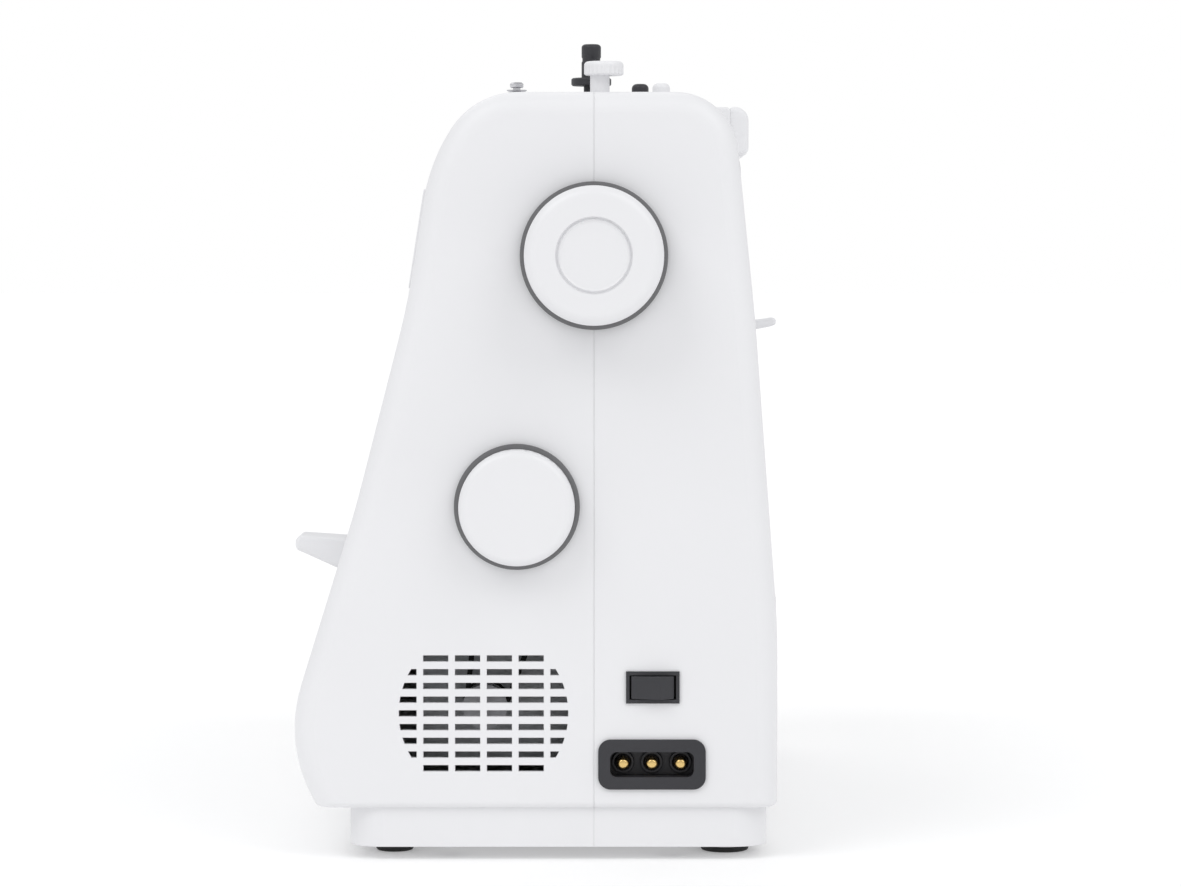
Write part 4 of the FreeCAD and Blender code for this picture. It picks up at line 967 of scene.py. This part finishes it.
def add_winder_spindle():
    """The bobbin winder's spindle, with its collars, its seat and a grooved tip."""
    low, high = corners_mm("winder_spindle")
    middle = centre("winder_spindle")
    thin, thick, tip = SPINDLE_R, SPINDLE_TIP_R, high.z
    seat = tip - SPINDLE_TIP
    profile = [(low.z, 0), (low.z, thin)]
    for z in COLLAR_Z:
        profile += [(z, thin), (z, 4.7), (z + 0.3, 5.0), (z + 1.5, 5.0), (z + 1.8, 4.7), (z + 1.8, thin)]
    profile += [(seat, thin), (seat, 7.2), (seat + 0.5, 7.7), (seat + 2.5, 7.7), (seat + 3, 7.2),
                (seat + 3, thick)]
    profile += [(tip - 7, thick), (tip - 6.5, thick - 0.3), (tip - 5.5, thick - 0.3), (tip - 5, thick)]
    profile += arc(tip - 1.4, thick - 1.4, 1.4, 90, 0, 6) + [(tip, 0)]
    spindle = turned(profile, facing_up(Vector((middle.x, middle.y, 0))), 64)
    finish_piece("winder_spindle_turned", spindle, "winder", "dark_plastic", replaced=("winder_spindle",))


def add_winder_stopper():
    """The fluted stopper beside the spindle, on its off-centre post."""
    low, high = corners_mm("winder_stopper")
    radius = (high.x - low.x) / 2
    head_x, head_y = centre("winder_stopper").x / MM, high.y - radius
    thick, post_shift = 5.4, 1.5
    top = high.z
    side = [(top - thick + thick * part / 9, radius) for part in range(1, 6)]
    profile = [(top - 5.3, 0), (top - 5.3, radius - 0.6)] + side
    profile += arc(top - 1.5, radius - 1.5, 1.5, 90, 0, 6) + [(top, 0)]
    head = turned(profile, facing_up(Vector((head_x, head_y, 0)) * MM), 120, 24, 0.4, (top - 4.9, top - 1.9))
    post = turned([(low.z, 0), (low.z, 3.7), (top - 5, 3.7), (top - 5, 0)],
                  facing_up(Vector((head_x, head_y - post_shift, 0)) * MM), 48)
    finish_piece("winder_stopper_turned", joined(head, post), "chassis", "knob_white",
                 replaced=("winder_stopper",))


GUIDE = (-40.0, -33.0)   # the tension discs' post, in x and y
HOOK_X = (-118.0, -104.0)
HOOK_Y = -8.0


def add_guides():
    """The winder's tension discs on their post, and the bent-wire guide for the needle thread."""
    low, high = (corner.z for corner in corners_mm("thread_guides"))
    post_place = facing_up(at(*GUIDE, 0))
    parts = [turned([(low, 0), (low, 1.6), (high - 2.4, 1.6), (high - 2.4, 2.6), (high - 1.9, 2.9),
                     (high - 0.7, 2.9), (high, 2.2), (high, 0)], post_place, 48)]
    for flat, lip in ((295.4, 0.9), (299.0, -0.9)):
        parts.append(turned([(flat, 1.7), (flat, 3.2), (flat - lip, 4.3), (flat - lip + 0.35, 4.3),
                             (flat + 0.35, 3.3), (flat + 0.35, 1.7), (flat, 1.7)], post_place, 56))
    coil = [(2.5 * math.cos(step * 0.5), 2.5 * math.sin(step * 0.5), 296.6 + 0.045 * step)
            for step in range(38)]
    parts.append(wire_mesh(coil, 0.25, post_place))
    left, right = HOOK_X
    bend = high - 7
    loop = [(left + 1, HOOK_Y, low + 0.8), (left + 1, HOOK_Y, bend - 1), (left + 4, HOOK_Y, bend),
            (right - 4, HOOK_Y, bend), (right - 1, HOOK_Y, bend - 1), (right - 1, HOOK_Y - 1.2, 292.6),
            (right - 4.5, HOOK_Y - 1.4, 292.2)]
    parts.append(wire_mesh(loop, 0.75, facing_up(at(0, 0, 0)), smooth=True))
    parts.append(turned([(290.2, 0), (290.2, 2.0), (290.9, 2.0), (291.1, 1.6), (291.1, 0)],
                        facing_up(at(left + 1, HOOK_Y, 0)), 32))
    finish_piece("thread_guides_formed", joined(*parts), "chassis", "plated", replaced=("thread_guides",))


def add_finger_ridges():
    """Ridges on the cover-release button and on the accessory lid."""
    middle = centre("hook_cover_button")
    place = facing_up(Vector((middle.x, middle.y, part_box("hook_cover_button")[1][2])))
    ridges = [plate([oblong(5.0, 0.6, 0.28, 0, shift)], -0.2, 0.3, 0.0, place)
              for shift in (-2, -0.7, 0.6, 1.9)]
    finish_piece("release_button_ridges", joined(*ridges), "cover_release", "control_grey")
    lid_x = centre("accessory_lid").x / MM
    lid_top = corners_mm("accessory_lid")[1].z
    place = skin("accessory_lid", lid_x, -150, lid_top - 8, (0, 1, 0))
    grips = [plate([oblong(26, 0.8, 0.38, 0, shift)], -0.1, 0.45, 0.1, place) for shift in (-3, 0, 3)]
    finish_piece("accessory_lid_ridges", joined(*grips), "lid", "table_white")


for add in (add_seam_lip, add_needle_end, add_presser_foot, add_lifter, add_winder_spindle,
            add_winder_stopper, add_guides, add_finger_ridges):
    add()


# ---------------------------------------------------------------- camera, light and floor

EYE_HEIGHT = 0.225
EYE_DISTANCE = 1.5
AIM_HEIGHT = 0.158
FRAME_WIDTH = 0.444      # what the frame spans at the end face
VIEW_SHIFT = -0.0013     # the camera stands a little in front of the seam plane
AMBIENT = 0.72           # the white that lights the object
FLOOR_WHITE = 0.80
FLOOR_GLOW = 0.22
FLOOR_HALF = 30.0


def add_camera():
    data = bpy.data.cameras.new("camera")
    data.sensor_width = 36
    data.lens = 36 * EYE_DISTANCE / FRAME_WIDTH
    camera = bpy.data.objects.new("camera", data)
    bpy.context.scene.collection.objects.link(camera)
    middle_y = SEAM_Y + VIEW_SHIFT
    camera.location = (END_X + EYE_DISTANCE, middle_y, EYE_HEIGHT)
    aim = Vector((END_X, middle_y, AIM_HEIGHT)) - camera.location
    camera.rotation_euler = aim.to_track_quat("-Z", "Y").to_euler()
    bpy.context.scene.camera = camera


def add_sun(name, direction, angle, strength):
    """Soft light from far away, so that the floor is evenly bright."""
    data = bpy.data.lights.new(name, "SUN")
    data.energy = strength
    data.angle = math.radians(angle)
    light = bpy.data.objects.new(name, data)
    light.rotation_euler = Vector(direction).to_track_quat("Z", "Y").to_euler()
    bpy.context.scene.collection.objects.link(light)


def add_floor():
    """A white floor that glows a little, so that it meets the white background without a line."""
    half = FLOOR_HALF
    corners = [(-half, -half, 0), (half, -half, 0), (half, half, 0), (-half, half, 0)]
    mesh = bpy.data.meshes.new("floor")
    mesh.from_pydata(corners, [], [(0, 1, 2, 3)])
    floor = bpy.data.objects.new("floor", mesh)
    bpy.context.scene.collection.objects.link(floor)
    material = new_material("floor_paper", (FLOOR_WHITE, FLOOR_WHITE, FLOOR_WHITE), 0.9, specular=0.1)
    inputs = shader_of(material).inputs
    inputs["Emission Color"].default_value = (1, 1, 1, 1)
    inputs["Emission Strength"].default_value = FLOOR_GLOW
    mesh.materials.append(material)


def add_world():
    """White behind the object, and a dimmer white that lights it."""
    world = bpy.data.worlds.new("studio")
    world.use_nodes = True
    nodes = world.node_tree.nodes
    links = world.node_tree.links
    seen = nodes["Background"]
    seen.inputs["Color"].default_value = (1, 1, 1, 1)
    seen.inputs["Strength"].default_value = 1.0
    ambient = nodes.new("ShaderNodeBackground")
    ambient.inputs["Color"].default_value = (0.985, 0.99, 1, 1)
    ambient.inputs["Strength"].default_value = AMBIENT
    path = nodes.new("ShaderNodeLightPath")
    either = nodes.new("ShaderNodeMixShader")
    links.new(path.outputs["Is Camera Ray"], either.inputs["Fac"])
    links.new(ambient.outputs["Background"], either.inputs[1])
    links.new(seen.outputs["Background"], either.inputs[2])
    links.new(either.outputs["Shader"], nodes["World Output"].inputs["Surface"])
    bpy.context.scene.world = world
    bpy.context.scene.view_settings.view_transform = "Standard"


add_camera()
add_world()
add_floor()
add_sun("key", (1.0, -0.95, 1.45), 35, 0.62)
add_sun("fill", (1.0, 1.05, 1.35), 40, 0.55)
add_sun("rim", (-1.0, -0.4, 1.2), 50, 0.35)
